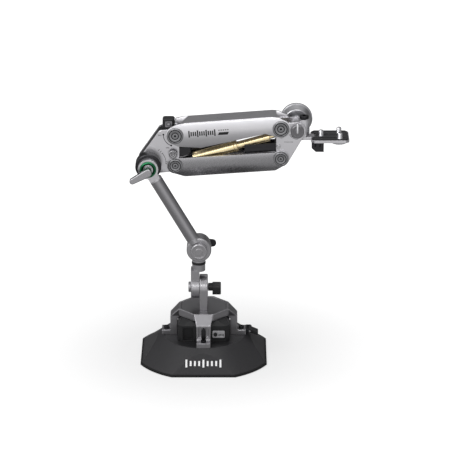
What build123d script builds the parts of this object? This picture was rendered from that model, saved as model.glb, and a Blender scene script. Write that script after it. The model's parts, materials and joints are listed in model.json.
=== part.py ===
"""Damped parallelogram arm on a vacuum base, with a tilting camera plate.

Millimetres, +Z up. The origin is the centre of the base on the surface it stands on, +X points
along the links towards the camera plate, and -Y is the front of the arm.
"""

import math
import os

from build123d import *

os.makedirs("parts", exist_ok=True)

# ---------------------------------------------------------------- fits
RUN = 0.05  # radial clearance of a running fit
PRESS = 0.02  # radial clearance of a pin held in its own body
GAP = 0.3  # face gap between parts that move on each other

# ---------------------------------------------------------------- base
FOOT_R = 85.0  # round outline of the suction foot
FOOT_HALF = 76.0  # flats cut on its four sides
LIP_TOP = 3.0  # thickness of the rubber lip
RIM_R = 52.0  # top edge of the shell
RIM_Z = 27.7
SHELL_WALL = 4.2  # measured level
LEDGE_LOW = 20.0  # ledge that carries the deck
LEDGE_TOP = 24.0
LEDGE_BORE = 40.0
FLAT_TAPER = 41.7  # lean of the flats, degrees from vertical
FOOT_SCREW_PCR = 46.5  # radius of the screws through the crown's feet
SCREW_R = 1.9  # shanks of the crown's screws

# ---------------------------------------------------------------- crown and housing
ROOF_Z = 63.8
BAND_Z = 55.0
ROOF_A = 30.4  # octagon: distance of its faces on the axes
ROOF_B = 11.7  # octagon: half width of those faces
LEG_OUT = 41.5
LEG_IN = 32.7
LEG_HALF = 8.4
FLANGE_Z = 34.0
HOUSING_A = 32.0
HOUSING_B = 27.0
HOUSING_WALL = 2.0
HOUSING_TOP = 54.7

# ---------------------------------------------------------------- column
TILT_Z = 88.4  # base tilt axis, along X
EAR_HALF = 5.0
EAR_R = 16.0
COLUMN_X = -6.05
COLUMN_R = 8.1
SWIVEL_Z = 119.5
SHOULDER = (-5.5, 142.6)  # X, Z of the shoulder axis, along Y

# ---------------------------------------------------------------- lower arm
ELBOW = (-66.5, 248.0)
ARM_Y = -10.2  # mid plane of the tube
TUBE_R = 7.9
TUBE_WALL = 1.5
TUBE_START = 16.0  # distances along the arm from the shoulder axis
TUBE_END = 103.0
BOLT_R = 4.0  # shoulder bolt
ELBOW_BOLT_R = 3.0

# ---------------------------------------------------------------- linkage
PIVOT_TOP = (-33.9, 284.6)
PIVOT_LOW = (-33.9, 246.6)
PIVOT_MID = (-36.5, 261.1)
LINK_DX = 127.9
LINK_DZ = 8.85
PLATE_FRONT = (3.5, 7.0)  # Y span of the knuckles' front plates
PLATE_BACK = (25.0, 28.5)
LINK_FRONT = (0.6, 3.2)  # Y span of the links' front walls
LINK_BACK = (28.8, 31.4)
CAP_FRONT = (-2.0, 0.3)
CAP_BACK = (31.7, 34.0)
PIN_R = 3.0
MID_PIN_R = 2.5
WEB = 2.4  # thickness of the links' webs

# ---------------------------------------------------------------- damper
DAMPER_Y = 14.5
DAMPER_ANCHOR = (95.0, 282.8)
TUBE_BIG_R = 6.6
ROD_R = 4.8

# ---------------------------------------------------------------- head
TILT = (114.0, 289.9)  # head tilt axis, along Y
PAN = (122.5, 16.0)  # X, Y of the vertical pan axis
PLATE_X = (130.7, 177.0)
PLATE_Y = (-3.0, 35.0)
PLATE_LOW = 276.2
PLATE_METAL = 279.6
PLATE_TOP = 280.8


# ---------------------------------------------------------------- shared geometry
LINK_LENGTH = math.hypot(LINK_DX, LINK_DZ)
LINK_ANGLE = math.degrees(math.atan2(LINK_DZ, LINK_DX))
ARM_LENGTH = math.hypot(ELBOW[0] - SHOULDER[0], ELBOW[1] - SHOULDER[1])
ARM_DIR = ((ELBOW[0] - SHOULDER[0]) / ARM_LENGTH, (ELBOW[1] - SHOULDER[1]) / ARM_LENGTH)


def across(point):
    """The right-hand pivot that a left-hand one is linked to."""
    return (point[0] + LINK_DX, point[1] + LINK_DZ)


def front_plane(y, at=(0, 0), turn=0.0):
    """Plane facing the front at depth y: local x is X, local y is Z, extrusion runs towards -Y."""
    angle = math.radians(turn)
    along = (math.cos(angle), 0, math.sin(angle))
    return Plane(origin=(at[0], y, at[1]), x_dir=along, z_dir=(0, -1, 0))


def along_plane(start, y, direction, distance):
    """Plane square to a direction in the XZ plane, at a distance from a start point."""
    origin = (start[0] + direction[0] * distance, y, start[1] + direction[1] * distance)
    return Plane(origin=origin, x_dir=(0, 1, 0), z_dir=(direction[0], 0, direction[1]))


def octagon(a, b):
    """Corners of an octagon with faces at a on the axes, each 2 b wide."""
    quarter = [(a, -b), (a, b)]
    points = []
    for turn in range(4):
        c, s = [(1, 0), (0, 1), (-1, 0), (0, -1)][turn]
        points += [(x * c - y * s, x * s + y * c) for x, y in quarter]
    return points


def export(piece, name):
    piece.part.label = name
    export_step(piece.part, f"parts/{name}.step")
    return piece


def y_disc(span, at, radius, bore=0.0, soften=0.0):
    """Disc with its axis along Y, over the span (low y, high y)."""
    with BuildPart() as disc:
        with BuildSketch(front_plane(span[1], at)):
            Circle(radius)
            if bore:
                Circle(bore, mode=Mode.SUBTRACT)
        extrude(amount=span[1] - span[0])
        if soften:
            outer = disc.edges().filter_by(GeomType.CIRCLE).group_by(SortBy.RADIUS)[-1]
            chamfer(outer.sort_by(Axis.Y)[0], soften)
    return disc


def shank_screws(places, seat, head_r, head_h, shank_r, shank_l, down=True):
    """Identical socket screws: heads stand on the seat height and the shanks go the other way."""
    side = 1 if down else -1
    with BuildPart() as group:
        with BuildSketch(Plane.XY.offset(seat)):
            with Locations(*places):
                Circle(head_r)
        extrude(amount=side * head_h)
        with BuildSketch(Plane.XY.offset(seat)):
            with Locations(*places):
                Circle(shank_r)
        extrude(amount=-side * shank_l)
        with BuildSketch(Plane.XY.offset(seat + side * head_h)):
            with Locations(*places):
                RegularPolygon(head_r * 0.5, 6)
        extrude(amount=-side * head_h * 0.55, mode=Mode.SUBTRACT)
    return group


# ================================================================ base body
def foot_outline(inset):
    """Round foot with four flats, drawn in the current sketch."""
    Circle(FOOT_R - inset)
    Rectangle(2 * (FOOT_HALF - inset), 2 * (FOOT_HALF - inset), mode=Mode.INTERSECT)


# Rubber cup: a lip under the whole shell, a ring chamber round a centre land, and an air port.
PLUG_INSET = 9.0
PLUG_TOP = 5.0
CHAMBER_OUT = 68.0
CHAMBER_IN = 20.0
CHAMBER_DEPTH = 1.4
PORT = (12.0, -8.0)
PORT_R = 1.6
with BuildPart() as suction_cup:
    with BuildSketch():
        foot_outline(0.0)
    extrude(amount=LIP_TOP)
    with BuildSketch(Plane.XY.offset(LIP_TOP)):
        foot_outline(PLUG_INSET)
    extrude(amount=PLUG_TOP - LIP_TOP)
    with BuildSketch(Plane.XY.offset(PLUG_TOP)):
        with Locations(PORT):
            Circle(6.0)
    extrude(amount=4.0)
    with BuildSketch():
        Circle(CHAMBER_OUT)
        Circle(CHAMBER_IN, mode=Mode.SUBTRACT)
        with Locations(PORT):
            Circle(4.0)
    extrude(amount=CHAMBER_DEPTH, mode=Mode.SUBTRACT)
    with BuildSketch():
        with Locations((CHAMBER_IN - 2.0, -8.0)):
            Rectangle(12.0, 5.0)
    extrude(amount=CHAMBER_DEPTH, mode=Mode.SUBTRACT)
    with BuildSketch(Plane.XY.offset(CHAMBER_DEPTH)):
        with Locations(PORT):
            Circle(PORT_R)
    extrude(amount=10.0, mode=Mode.SUBTRACT)
export(suction_cup, "suction_cup")


def frustum(foot_r, foot_half, low, high, slope_out, slope_in):
    """Solid of the shell's outer or inner form between two heights."""
    height = high - low
    with BuildPart() as form:
        with Locations((0, 0, low)):
            Cone(
                foot_r,
                foot_r - height * slope_out,
                height,
                align=(Align.CENTER, Align.CENTER, Align.MIN),
            )
        with BuildSketch(Plane.XY.offset(low)):
            Rectangle(2 * foot_half, 2 * foot_half)
        extrude(amount=height, taper=slope_in, mode=Mode.INTERSECT)
    return form


CONE_SLOPE = (FOOT_R - RIM_R) / (RIM_Z - LIP_TOP)
shell_form = frustum(FOOT_R, FOOT_HALF, LIP_TOP, RIM_Z, CONE_SLOPE, FLAT_TAPER)
shell_room = frustum(
    FOOT_R - SHELL_WALL, FOOT_HALF - SHELL_WALL, LIP_TOP, LEDGE_LOW, CONE_SLOPE, FLAT_TAPER
)
DECK_R = 50.0
with BuildPart() as base_shell:
    add(shell_form.part)
    add(shell_room.part, mode=Mode.SUBTRACT)
    with BuildSketch(Plane.XY.offset(LEDGE_LOW)):
        Circle(LEDGE_BORE)
    extrude(amount=LEDGE_TOP - LEDGE_LOW, mode=Mode.SUBTRACT)
    with BuildSketch(Plane.XY.offset(LEDGE_TOP)):
        Circle(DECK_R + 0.2)
    extrude(amount=RIM_Z - LEDGE_TOP, mode=Mode.SUBTRACT)
    with BuildSketch(Plane.XY.offset(LEDGE_LOW)):
        with PolarLocations(FOOT_SCREW_PCR, 4):
            Circle(SCREW_R + 0.1)
    extrude(amount=LEDGE_TOP - LEDGE_LOW, mode=Mode.SUBTRACT)
export(base_shell, "base_shell")

HOSE_R = 2.5
with BuildPart() as deck_plate:
    with BuildSketch(Plane.XY.offset(LEDGE_TOP)):
        Circle(DECK_R)
        with PolarLocations(FOOT_SCREW_PCR, 4):
            Circle(SCREW_R + 0.1, mode=Mode.SUBTRACT)
        with Locations(PORT):
            Circle(HOSE_R + 0.1, mode=Mode.SUBTRACT)
    extrude(amount=RIM_Z - LEDGE_TOP)
export(deck_plate, "deck_plate")

SPOUT_LOW = PLUG_TOP + 4.0  # the pump's spout reaches down to the cup's port
# Pump and its motor, battery and circuit board stand in the housing.
with BuildPart() as pump_head:
    with Locations((PORT[0], PORT[1], RIM_Z)):
        Box(16.0, 16.0, 17.0, align=(Align.CENTER, Align.CENTER, Align.MIN))
    chamfer(pump_head.edges().filter_by(Axis.Z), 1.5)
    with BuildSketch(Plane.XY.offset(SPOUT_LOW)):
        with Locations(PORT):
            Circle(HOSE_R)
    extrude(amount=RIM_Z - SPOUT_LOW)
    with BuildSketch(Plane.XY.offset(SPOUT_LOW)):
        with Locations(PORT):
            Circle(PORT_R)
    extrude(amount=RIM_Z - SPOUT_LOW + 8.0, mode=Mode.SUBTRACT)
export(pump_head, "pump_head")

MOTOR_R = 8.0
MOTOR_Z = 36.2
with BuildPart() as pump_motor:
    with BuildSketch(Plane.YZ.offset(PORT[0] - 8.0)):
        with Locations((PORT[1], MOTOR_Z)):
            Circle(MOTOR_R)
    extrude(amount=-24.0)
    with BuildSketch(Plane.YZ.offset(PORT[0] - 32.0)):
        with Locations((PORT[1], MOTOR_Z)):
            Circle(3.0)
    extrude(amount=-1.5)
export(pump_motor, "pump_motor")

BATTERY_R = 8.5
with BuildPart() as battery:
    with BuildSketch(Plane.YZ.offset(-21.0)):
        with Locations((13.5, RIM_Z + BATTERY_R + 0.1)):
            Circle(BATTERY_R)
    extrude(amount=42.0)
    with BuildSketch(Plane.YZ.offset(21.0)):
        with Locations((13.5, RIM_Z + BATTERY_R + 0.1)):
            Circle(2.6)
    extrude(amount=1.4)
export(battery, "battery")

# Housing: an octagonal cover with sloped shoulders, the control window and the vent recess.
PANEL_X = 18.4
PANEL_Z = 38.5
VENT_AT = (-19.2, 38.0)


def housing_plane(inset):
    """Plane behind the housing's front face by an inset, facing the front."""
    return front_plane(inset - HOUSING_A)


BUTTON_AT = (PANEL_X - 3.9, PANEL_Z)
SOCKET_AT = (PANEL_X + 3.2, PANEL_Z - 1.0)
BUTTON_R = 2.4
with BuildPart() as inner_housing:
    with BuildSketch(Plane.XY.offset(RIM_Z)):
        Polygon(*octagon(HOUSING_A, HOUSING_B), align=None)
    extrude(amount=49.0 - RIM_Z)
    with BuildSketch(Plane.XY.offset(49.0)):
        Polygon(*octagon(HOUSING_A, HOUSING_B), align=None)
    with BuildSketch(Plane.XY.offset(HOUSING_TOP)):
        Polygon(*octagon(HOUSING_A - 5.5, HOUSING_B - 11.5), align=None)
    loft()
    with BuildSketch(Plane.XY.offset(RIM_Z)):
        Polygon(*octagon(HOUSING_A - HOUSING_WALL, HOUSING_B - 0.8), align=None)
    extrude(amount=48.4 - RIM_Z, mode=Mode.SUBTRACT)
    with BuildSketch(Plane.XY.offset(48.4)):
        Polygon(*octagon(HOUSING_A - HOUSING_WALL, HOUSING_B - 0.8), align=None)
    with BuildSketch(Plane.XY.offset(HOUSING_TOP - HOUSING_WALL)):
        Polygon(*octagon(HOUSING_A - 7.4, HOUSING_B - 12.6), align=None)
    loft(mode=Mode.SUBTRACT)
    # blind vent recess with its own walls
    with BuildSketch(housing_plane(7.0)):
        with Locations(VENT_AT):
            Rectangle(14.6, 19.0)
    extrude(amount=6.5)
    with BuildSketch(housing_plane(5.0)):
        with Locations(VENT_AT):
            Rectangle(12.6, 16.6)
    extrude(amount=6.0, mode=Mode.SUBTRACT)
    # control window: button guide and charging socket
    with BuildSketch(housing_plane(4.0)):
        with Locations(BUTTON_AT):
            Circle(BUTTON_R + RUN)
    extrude(amount=5.0, mode=Mode.SUBTRACT)
    with BuildSketch(housing_plane(4.0)):
        with Locations(SOCKET_AT):
            Rectangle(6.6, 3.2)
    extrude(amount=5.0, mode=Mode.SUBTRACT)
export(inner_housing, "inner_housing")

PANEL_THICK = 1.2
with BuildPart() as control_panel:
    with BuildSketch(housing_plane(0.0)):
        with Locations((PANEL_X, PANEL_Z)):
            RectangleRounded(15.0, 9.2, 1.2)
        with Locations(BUTTON_AT):
            Circle(BUTTON_R + RUN, mode=Mode.SUBTRACT)
        with Locations(SOCKET_AT):
            Rectangle(6.6, 3.2, mode=Mode.SUBTRACT)
    extrude(amount=PANEL_THICK)
export(control_panel, "control_panel")

with BuildPart() as charge_socket:
    with BuildSketch(housing_plane(6.2)):
        with Locations(SOCKET_AT):
            SlotOverall(6.4, 3.0)
    extrude(amount=6.9)
    with BuildSketch(housing_plane(-0.7)):
        with Locations(SOCKET_AT):
            SlotOverall(5.6, 2.0)
            SlotOverall(3.6, 0.7, mode=Mode.SUBTRACT)
    extrude(amount=-5.0, mode=Mode.SUBTRACT)
export(charge_socket, "charge_socket")

BOARD_INSET = 9.0
with BuildPart() as circuit_board:
    with BuildSketch(housing_plane(BOARD_INSET)):
        with Locations((PANEL_X, PANEL_Z - 1.5)):
            Rectangle(15.0, 17.0)
    extrude(amount=1.6)
    with BuildSketch(housing_plane(BOARD_INSET - 1.6)):
        with Locations(BUTTON_AT):
            Rectangle(3.4, 3.4)
    extrude(amount=0.8)
export(circuit_board, "circuit_board")

BUTTON_BACK = 4.9  # inset of its collar, clear of the switch behind it over the 0.8 mm of travel
with BuildPart() as power_button:
    with BuildSketch(housing_plane(3.6)):
        with Locations(BUTTON_AT):
            Circle(BUTTON_R)
    extrude(amount=3.6 + PANEL_THICK + 1.6)
    with BuildSketch(housing_plane(BUTTON_BACK)):
        with Locations(BUTTON_AT):
            Circle(3.0)
    extrude(amount=1.3)
export(power_button, "power_button")


# Crown frame: octagonal roof ring on four legs with flanged feet.
def leg_form():
    """One leg, standing on the +X side."""
    side = [
        (27.0, BAND_Z),
        (28.5, ROOF_Z - 1.0),
        (ROOF_A, ROOF_Z),
        (LEG_OUT - 0.4, 53.1),
        (LEG_OUT, 51.9),
        (LEG_OUT, 35.4),
        (LEG_OUT + 1.2, FLANGE_Z),
        (RIM_R, FLANGE_Z),
        (RIM_R, RIM_Z),
        (LEG_IN, RIM_Z),
        (LEG_IN, 49.5),
    ]
    half = [
        (LEG_HALF, RIM_Z),
        (LEG_HALF, FLANGE_Z),
        (LEG_HALF + 0.5, 53.3),
        (ROOF_B, ROOF_Z),
    ]
    with BuildPart() as leg:
        with BuildSketch(Plane.XZ.offset(-ROOF_B)):
            Polygon(*side, align=None)
        extrude(amount=2 * ROOF_B)
        with BuildSketch(Plane.YZ.offset(LEG_IN - 10)):
            Polygon(*half, *[(-y, z) for y, z in reversed(half)], align=None)
        extrude(amount=40.0, mode=Mode.INTERSECT)
        # two pointed windows either side of a rib
        with BuildSketch(Plane.YZ.offset(LEG_OUT + 1.0)) as windows:
            Polygon((1.4, 37.5), (6.3, 37.5), (6.3, 48.5), (3.85, 52.0), (1.4, 48.5), align=None)
            mirror(about=Plane.YZ)
        extrude(amount=-5.0, mode=Mode.SUBTRACT)
    return leg


ROOF_WALL = 2.4
ROOF_WEB = (58.5, 61.0)
EAR_SCREWS = [(0.0, -9.0), (0.0, 9.0)]
leg = leg_form()
with BuildPart() as crown_frame:
    with BuildSketch(Plane.XY.offset(BAND_Z)):
        Polygon(*octagon(ROOF_A, ROOF_B), align=None)
    extrude(amount=ROOF_Z - BAND_Z)
    for quarter in range(4):
        add(leg.part, rotation=(0, 0, 90 * quarter))
    with BuildSketch(Plane.XY.offset(ROOF_WEB[1])):
        Polygon(*octagon(ROOF_A - ROOF_WALL, ROOF_B - 1.0), align=None)
    extrude(amount=ROOF_Z - ROOF_WEB[1], mode=Mode.SUBTRACT)
    with BuildSketch(Plane.XY.offset(BAND_Z)):
        Polygon(*octagon(ROOF_A - 4.0, ROOF_B - 1.6), align=None)
    extrude(amount=ROOF_WEB[0] - BAND_Z, mode=Mode.SUBTRACT)
    with BuildSketch(Plane.XY.offset(ROOF_WEB[0])):
        with Locations(*EAR_SCREWS):
            Circle(SCREW_R + 0.1)
    extrude(amount=5.0, mode=Mode.SUBTRACT)
    with BuildSketch(Plane.XY.offset(RIM_Z)):
        with PolarLocations(FOOT_SCREW_PCR, 4):
            Circle(SCREW_R + 0.1)
    extrude(amount=FLANGE_Z - RIM_Z, mode=Mode.SUBTRACT)
export(crown_frame, "crown_frame")

ROOF_PLATE_TOP = 63.4
with BuildPart() as roof_plate:
    with BuildSketch(Plane.XY.offset(ROOF_WEB[1])):
        Polygon(*octagon(ROOF_A - ROOF_WALL - 0.1, ROOF_B - 1.0), align=None)
        with Locations(*EAR_SCREWS):
            Circle(SCREW_R + 0.1, mode=Mode.SUBTRACT)
    extrude(amount=ROOF_PLATE_TOP - ROOF_WEB[1])
    chamfer(roof_plate.faces().sort_by(Axis.Z)[-1].outer_wire().edges(), 0.4)
export(roof_plate, "roof_plate")

feet = [
    (FOOT_SCREW_PCR * math.cos(a), FOOT_SCREW_PCR * math.sin(a))
    for a in (0, math.pi / 2, math.pi, 3 * math.pi / 2)
]
foot_group = shank_screws(feet, FLANGE_Z, 3.3, 2.4, SCREW_R, 15.0)
ear_group = shank_screws(EAR_SCREWS, ROOF_WEB[0], 3.3, 2.4, SCREW_R, 12.0, down=False)
with BuildPart() as crown_screws:
    add(foot_group.part)
    add(ear_group.part)
export(crown_screws, "crown_screws")

# Vacuum release: a bracket on the +X foot, its pin, and the tab that lifts the lip.
RELEASE = (57.0, 32.0)
with BuildPart() as release_bracket:
    with BuildSketch(front_plane(8.0)):
        Polygon((52.0, 28.2), (54.2, 28.2), (54.2, 34.6), (52.0, 34.6), align=None)
    extrude(amount=16.0)
    for y in (8.0, -5.9):
        with BuildSketch(front_plane(y)):
            with Locations(RELEASE):
                Circle(2.7)
            Polygon((53.0, 29.3), (57.0, 29.3), (57.0, 34.6), (53.0, 34.6), align=None)
            with Locations(RELEASE):
                Circle(1.2 + PRESS, mode=Mode.SUBTRACT)
        extrude(amount=2.1)
export(release_bracket, "release_bracket")

export(y_disc((-8.0, 8.0), RELEASE, 1.2), "release_pin")

with BuildPart() as release_tab:
    with BuildSketch(front_plane(5.5)):
        with Locations(RELEASE):
            Circle(2.5)
        Polygon((56.5, 34.4), (67.6, 29.6), (67.0, 25.7), (56.0, 29.7), align=None)
        with Locations(RELEASE):
            Circle(1.2 + RUN, mode=Mode.SUBTRACT)
    extrude(amount=11.0)
    fillet(release_tab.edges().filter_by(Axis.Y).sort_by(Axis.X)[-2:], 1.2)
export(release_tab, "release_tab")

# ================================================================ column
with BuildPart() as ear_bracket:
    with BuildSketch(Plane.YZ.offset(-EAR_HALF)):
        with Locations((0, TILT_Z)):
            Circle(EAR_R)
        with Locations((0, (TILT_Z + ROOF_PLATE_TOP) / 2)):
            Rectangle(2 * EAR_R, TILT_Z - ROOF_PLATE_TOP)
        with Locations((0, TILT_Z)):
            Circle(PIN_R + PRESS, mode=Mode.SUBTRACT)
    extrude(amount=2 * EAR_HALF)
    outline = ear_bracket.edges().filter_by(GeomType.CIRCLE).group_by(SortBy.RADIUS)[-1]
    chamfer(outline, 0.8)
    with BuildSketch(Plane.XY.offset(ROOF_PLATE_TOP)):
        with Locations(*EAR_SCREWS):
            Circle(SCREW_R + 0.1)
    extrude(amount=8.0, mode=Mode.SUBTRACT)
export(ear_bracket, "ear_bracket")

COLLAR = (SWIVEL_Z + 3.0 + GAP, 127.0)  # Z span of the yoke's collar on the swivel spigot
PADDLE_R = 13.8
PADDLE_OUT = -15.7
PADDLE_IN = -EAR_HALF - GAP
BEVEL_Z = 111.0
with BuildPart() as tilt_paddle:
    with BuildSketch(Plane.YZ.offset(PADDLE_OUT)):
        with Locations((0, TILT_Z)):
            Circle(PADDLE_R)
        with Locations((0, (TILT_Z + BEVEL_Z) / 2)):
            Rectangle(2 * COLUMN_R, BEVEL_Z - TILT_Z)
    extrude(amount=PADDLE_IN - PADDLE_OUT)
    with BuildSketch(Plane.XY.offset(BEVEL_Z)):
        with Locations((COLUMN_X, 0)):
            Circle(COLUMN_R)
        with Locations((PADDLE_OUT + 4.2, 0)):
            Rectangle(8.4, 2 * COLUMN_R)
    extrude(amount=1.5)
    with BuildSketch(Plane.XY.offset(BEVEL_Z + 1.5)):
        with Locations((COLUMN_X, 0)):
            Circle(COLUMN_R)
    extrude(amount=SWIVEL_Z - BEVEL_Z - 1.5)
    rims = tilt_paddle.edges().filter_by(GeomType.CIRCLE).group_by(SortBy.RADIUS)[-1]
    chamfer(rims.sort_by(Axis.X)[0], 0.8)
    with BuildSketch(Plane.YZ.offset(PADDLE_OUT - 1)):
        with Locations((0, TILT_Z)):
            Circle(PIN_R + RUN)
    extrude(amount=20.0, mode=Mode.SUBTRACT)
    with BuildSketch(Plane.XY.offset(SWIVEL_Z)):
        with Locations((COLUMN_X, 0)):
            Circle(PIN_R)
    extrude(amount=COLLAR[1] - SWIVEL_Z - 1.2)
export(tilt_paddle, "tilt_paddle")

with BuildPart() as tilt_bolt:
    with BuildSketch(Plane.YZ.offset(PADDLE_OUT - 3.2)):
        with Locations((0, TILT_Z)):
            Circle(6.5)
    extrude(amount=3.0)
    chamfer(tilt_bolt.edges().sort_by(Axis.X)[0], 0.6)
    with BuildSketch(Plane.YZ.offset(PADDLE_OUT - 0.2)):
        with Locations((0, TILT_Z)):
            Circle(PIN_R)
    extrude(amount=30.0)
    with BuildSketch(Plane.YZ.offset(PADDLE_OUT - 3.2)):
        with Locations((0, TILT_Z)):
            RegularPolygon(3.0, 6)
    extrude(amount=1.8, mode=Mode.SUBTRACT)
export(tilt_bolt, "tilt_bolt")

# Tilt clamp knob: a round stem and a flat lever head.
KNOB_STEM = (5.4, 10.8)
KNOB_HEAD = 21.3
KNOB_LEAN = 18.0  # lean of the lever from straight down, degrees
KNOB_DROP = 5.0
with BuildPart() as tilt_knob:
    with BuildSketch(Plane.YZ.offset(KNOB_STEM[0])):
        with Locations((0, TILT_Z)):
            Circle(4.9)
    extrude(amount=KNOB_STEM[1] - KNOB_STEM[0])
    knob_plane = Plane(
        origin=(KNOB_STEM[1], 0, TILT_Z),
        x_dir=(0, math.cos(math.radians(KNOB_LEAN)), -math.sin(math.radians(KNOB_LEAN))),
        z_dir=(1, 0, 0),
    )
    with BuildSketch(knob_plane) as lever_head:
        with Locations((0, 0)):
            Circle(6.2)
        with Locations((0, -KNOB_DROP)):
            Circle(4.6)
        make_hull()
    extrude(amount=KNOB_HEAD - KNOB_STEM[1])
    fillet(tilt_knob.faces().sort_by(Axis.X)[-1].edges(), 1.2)
    with BuildSketch(Plane.YZ.offset(KNOB_STEM[0])):
        with Locations((0, TILT_Z)):
            Circle(PIN_R + RUN)
    extrude(amount=9.0, mode=Mode.SUBTRACT)
export(tilt_knob, "tilt_knob")

with BuildPart() as friction_ring:
    with BuildSketch(Plane.XY.offset(SWIVEL_Z)):
        with Locations((COLUMN_X, 0)):
            Circle(COLUMN_R + 0.5)
            Circle(PIN_R + PRESS, mode=Mode.SUBTRACT)
    extrude(amount=3.0)
    fillet(friction_ring.edges().filter_by(GeomType.CIRCLE).group_by(SortBy.RADIUS)[-1], 0.5)
export(friction_ring, "friction_ring")

# Yoke: round collar over the swivel and a tongue that carries the shoulder bolt.
TONGUE = (0.3, 8.1)
with BuildPart() as shoulder_yoke:
    with BuildSketch(Plane.XY.offset(COLLAR[0])):
        with Locations((COLUMN_X, 0)):
            Circle(COLUMN_R)
    extrude(amount=COLLAR[1] - COLLAR[0])
    with BuildSketch(front_plane(TONGUE[1])):
        with Locations(SHOULDER):
            Circle(14.0)
        with Locations((COLUMN_X, (COLLAR[1] - 1.0 + SHOULDER[1]) / 2)):
            Rectangle(14.0, SHOULDER[1] - COLLAR[1] + 1.0)
    extrude(amount=TONGUE[1] - TONGUE[0])
    with BuildSketch(front_plane(TONGUE[1] + 1)):
        with Locations(SHOULDER):
            Circle(BOLT_R + RUN)
    extrude(amount=12.0, mode=Mode.SUBTRACT)
    with BuildSketch(Plane.XY.offset(COLLAR[0])):
        with Locations((COLUMN_X, 0)):
            Circle(PIN_R + RUN)
    extrude(amount=COLLAR[1] - COLLAR[0] - 0.6, mode=Mode.SUBTRACT)
export(shoulder_yoke, "shoulder_yoke")

# Shoulder wing: a lever on the back end of the shoulder bolt.
WING = (8.4, 13.0)
with BuildPart() as shoulder_wing:
    with BuildSketch(front_plane(WING[1], SHOULDER)) as wing_outline:
        Circle(6.6)
        with Locations((16.8, 0)):
            Circle(4.2)
        make_hull()
        Circle(BOLT_R + RUN, mode=Mode.SUBTRACT)
    extrude(amount=WING[1] - WING[0])
    fillet(shoulder_wing.faces().sort_by(Axis.Y)[-1].outer_wire().edges(), 1.0)
export(shoulder_wing, "shoulder_wing")

# ================================================================ lower arm
HEAD_LOW = (-16.2, 0.0)  # Y span of the arm's shoulder head
CAP_LOW = (-23.2, -16.2)
HEAD_HIGH = (-19.2, ARM_Y)  # Y span of the arm's elbow head
SPIGOT_R = TUBE_R - TUBE_WALL - 0.05


def arm_plane(distance):
    return along_plane(SHOULDER, ARM_Y, ARM_DIR, distance)


with BuildPart() as arm_tube:
    with BuildSketch(arm_plane(TUBE_START)):
        Circle(TUBE_R)
        Circle(TUBE_R - TUBE_WALL, mode=Mode.SUBTRACT)
    extrude(amount=TUBE_END - TUBE_START)
export(arm_tube, "arm_tube")

with BuildPart() as shoulder_head:
    with BuildSketch(front_plane(HEAD_LOW[1], SHOULDER)):
        Circle(15.2)
    extrude(amount=HEAD_LOW[1] - HEAD_LOW[0])
    rim = shoulder_head.edges().filter_by(GeomType.CIRCLE).sort_by(Axis.Y)[0]
    chamfer(rim, 1.2)
    with BuildSketch(arm_plane(10.5)):
        Circle(TUBE_R)
    extrude(amount=TUBE_START - 10.5)
    with BuildSketch(arm_plane(TUBE_START)):
        Circle(SPIGOT_R)
    extrude(amount=12.0)
    with BuildSketch(front_plane(HEAD_LOW[1] + 1, SHOULDER)):
        Circle(BOLT_R + PRESS)
    extrude(amount=30.0, mode=Mode.SUBTRACT)
export(shoulder_head, "shoulder_head")

with BuildPart() as shoulder_cap:
    with BuildSketch(front_plane(CAP_LOW[1], SHOULDER)):
        Circle(10.2)
    extrude(amount=CAP_LOW[1] - CAP_LOW[0])
    with BuildSketch(front_plane(CAP_LOW[0] + 1.2, SHOULDER)):
        Circle(7.6)
        Circle(4.4, mode=Mode.SUBTRACT)
    extrude(amount=1.2, mode=Mode.SUBTRACT)
    chamfer(shoulder_cap.edges().filter_by(GeomType.CIRCLE).group_by(SortBy.RADIUS)[-1], 0.7)
    with BuildSketch(front_plane(CAP_LOW[1], SHOULDER)):
        Circle(BOLT_R + PRESS)
    extrude(amount=4.0, mode=Mode.SUBTRACT)
export(shoulder_cap, "shoulder_cap")

export(y_disc((CAP_LOW[1] - 3.8, 14.0), SHOULDER, BOLT_R), "shoulder_bolt")

WEB_HALF = 6.5
WEB_START = 104.6
with BuildPart() as elbow_head:
    with BuildSketch(front_plane(HEAD_HIGH[1], ELBOW)):
        Circle(12.3)
    extrude(amount=HEAD_HIGH[1] - HEAD_HIGH[0])
    web_angle = math.degrees(math.atan2(ARM_DIR[1], ARM_DIR[0]))
    with BuildSketch(front_plane(HEAD_HIGH[1], ELBOW, web_angle)):
        with Locations((-(ARM_LENGTH - WEB_START) / 2, 0)):
            Rectangle(ARM_LENGTH - WEB_START, 2 * WEB_HALF)
    extrude(amount=TUBE_R - 0.4)
    with BuildSketch(arm_plane(TUBE_END)):
        Circle(TUBE_R)
    extrude(amount=2.2)
    with BuildSketch(arm_plane(TUBE_END)):
        Circle(SPIGOT_R)
    extrude(amount=-12.0)
    with BuildSketch(front_plane(HEAD_HIGH[1] + 8, ELBOW)):
        Circle(ELBOW_BOLT_R + PRESS)
    extrude(amount=30.0, mode=Mode.SUBTRACT)
export(elbow_head, "elbow_head")

RING = (-21.7, HEAD_HIGH[0])
with BuildPart() as elbow_ring:
    with BuildSketch(front_plane(RING[1], ELBOW)):
        Circle(10.0)
        Circle(6.0, mode=Mode.SUBTRACT)
    extrude(amount=RING[1] - RING[0])
    outer = elbow_ring.edges().filter_by(GeomType.CIRCLE).group_by(SortBy.RADIUS)[-1]
    chamfer(outer.sort_by(Axis.Y)[0], 1.2)
export(elbow_ring, "elbow_ring")

export(y_disc((-28.0, 34.0), ELBOW, ELBOW_BOLT_R), "elbow_bolt")

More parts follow.
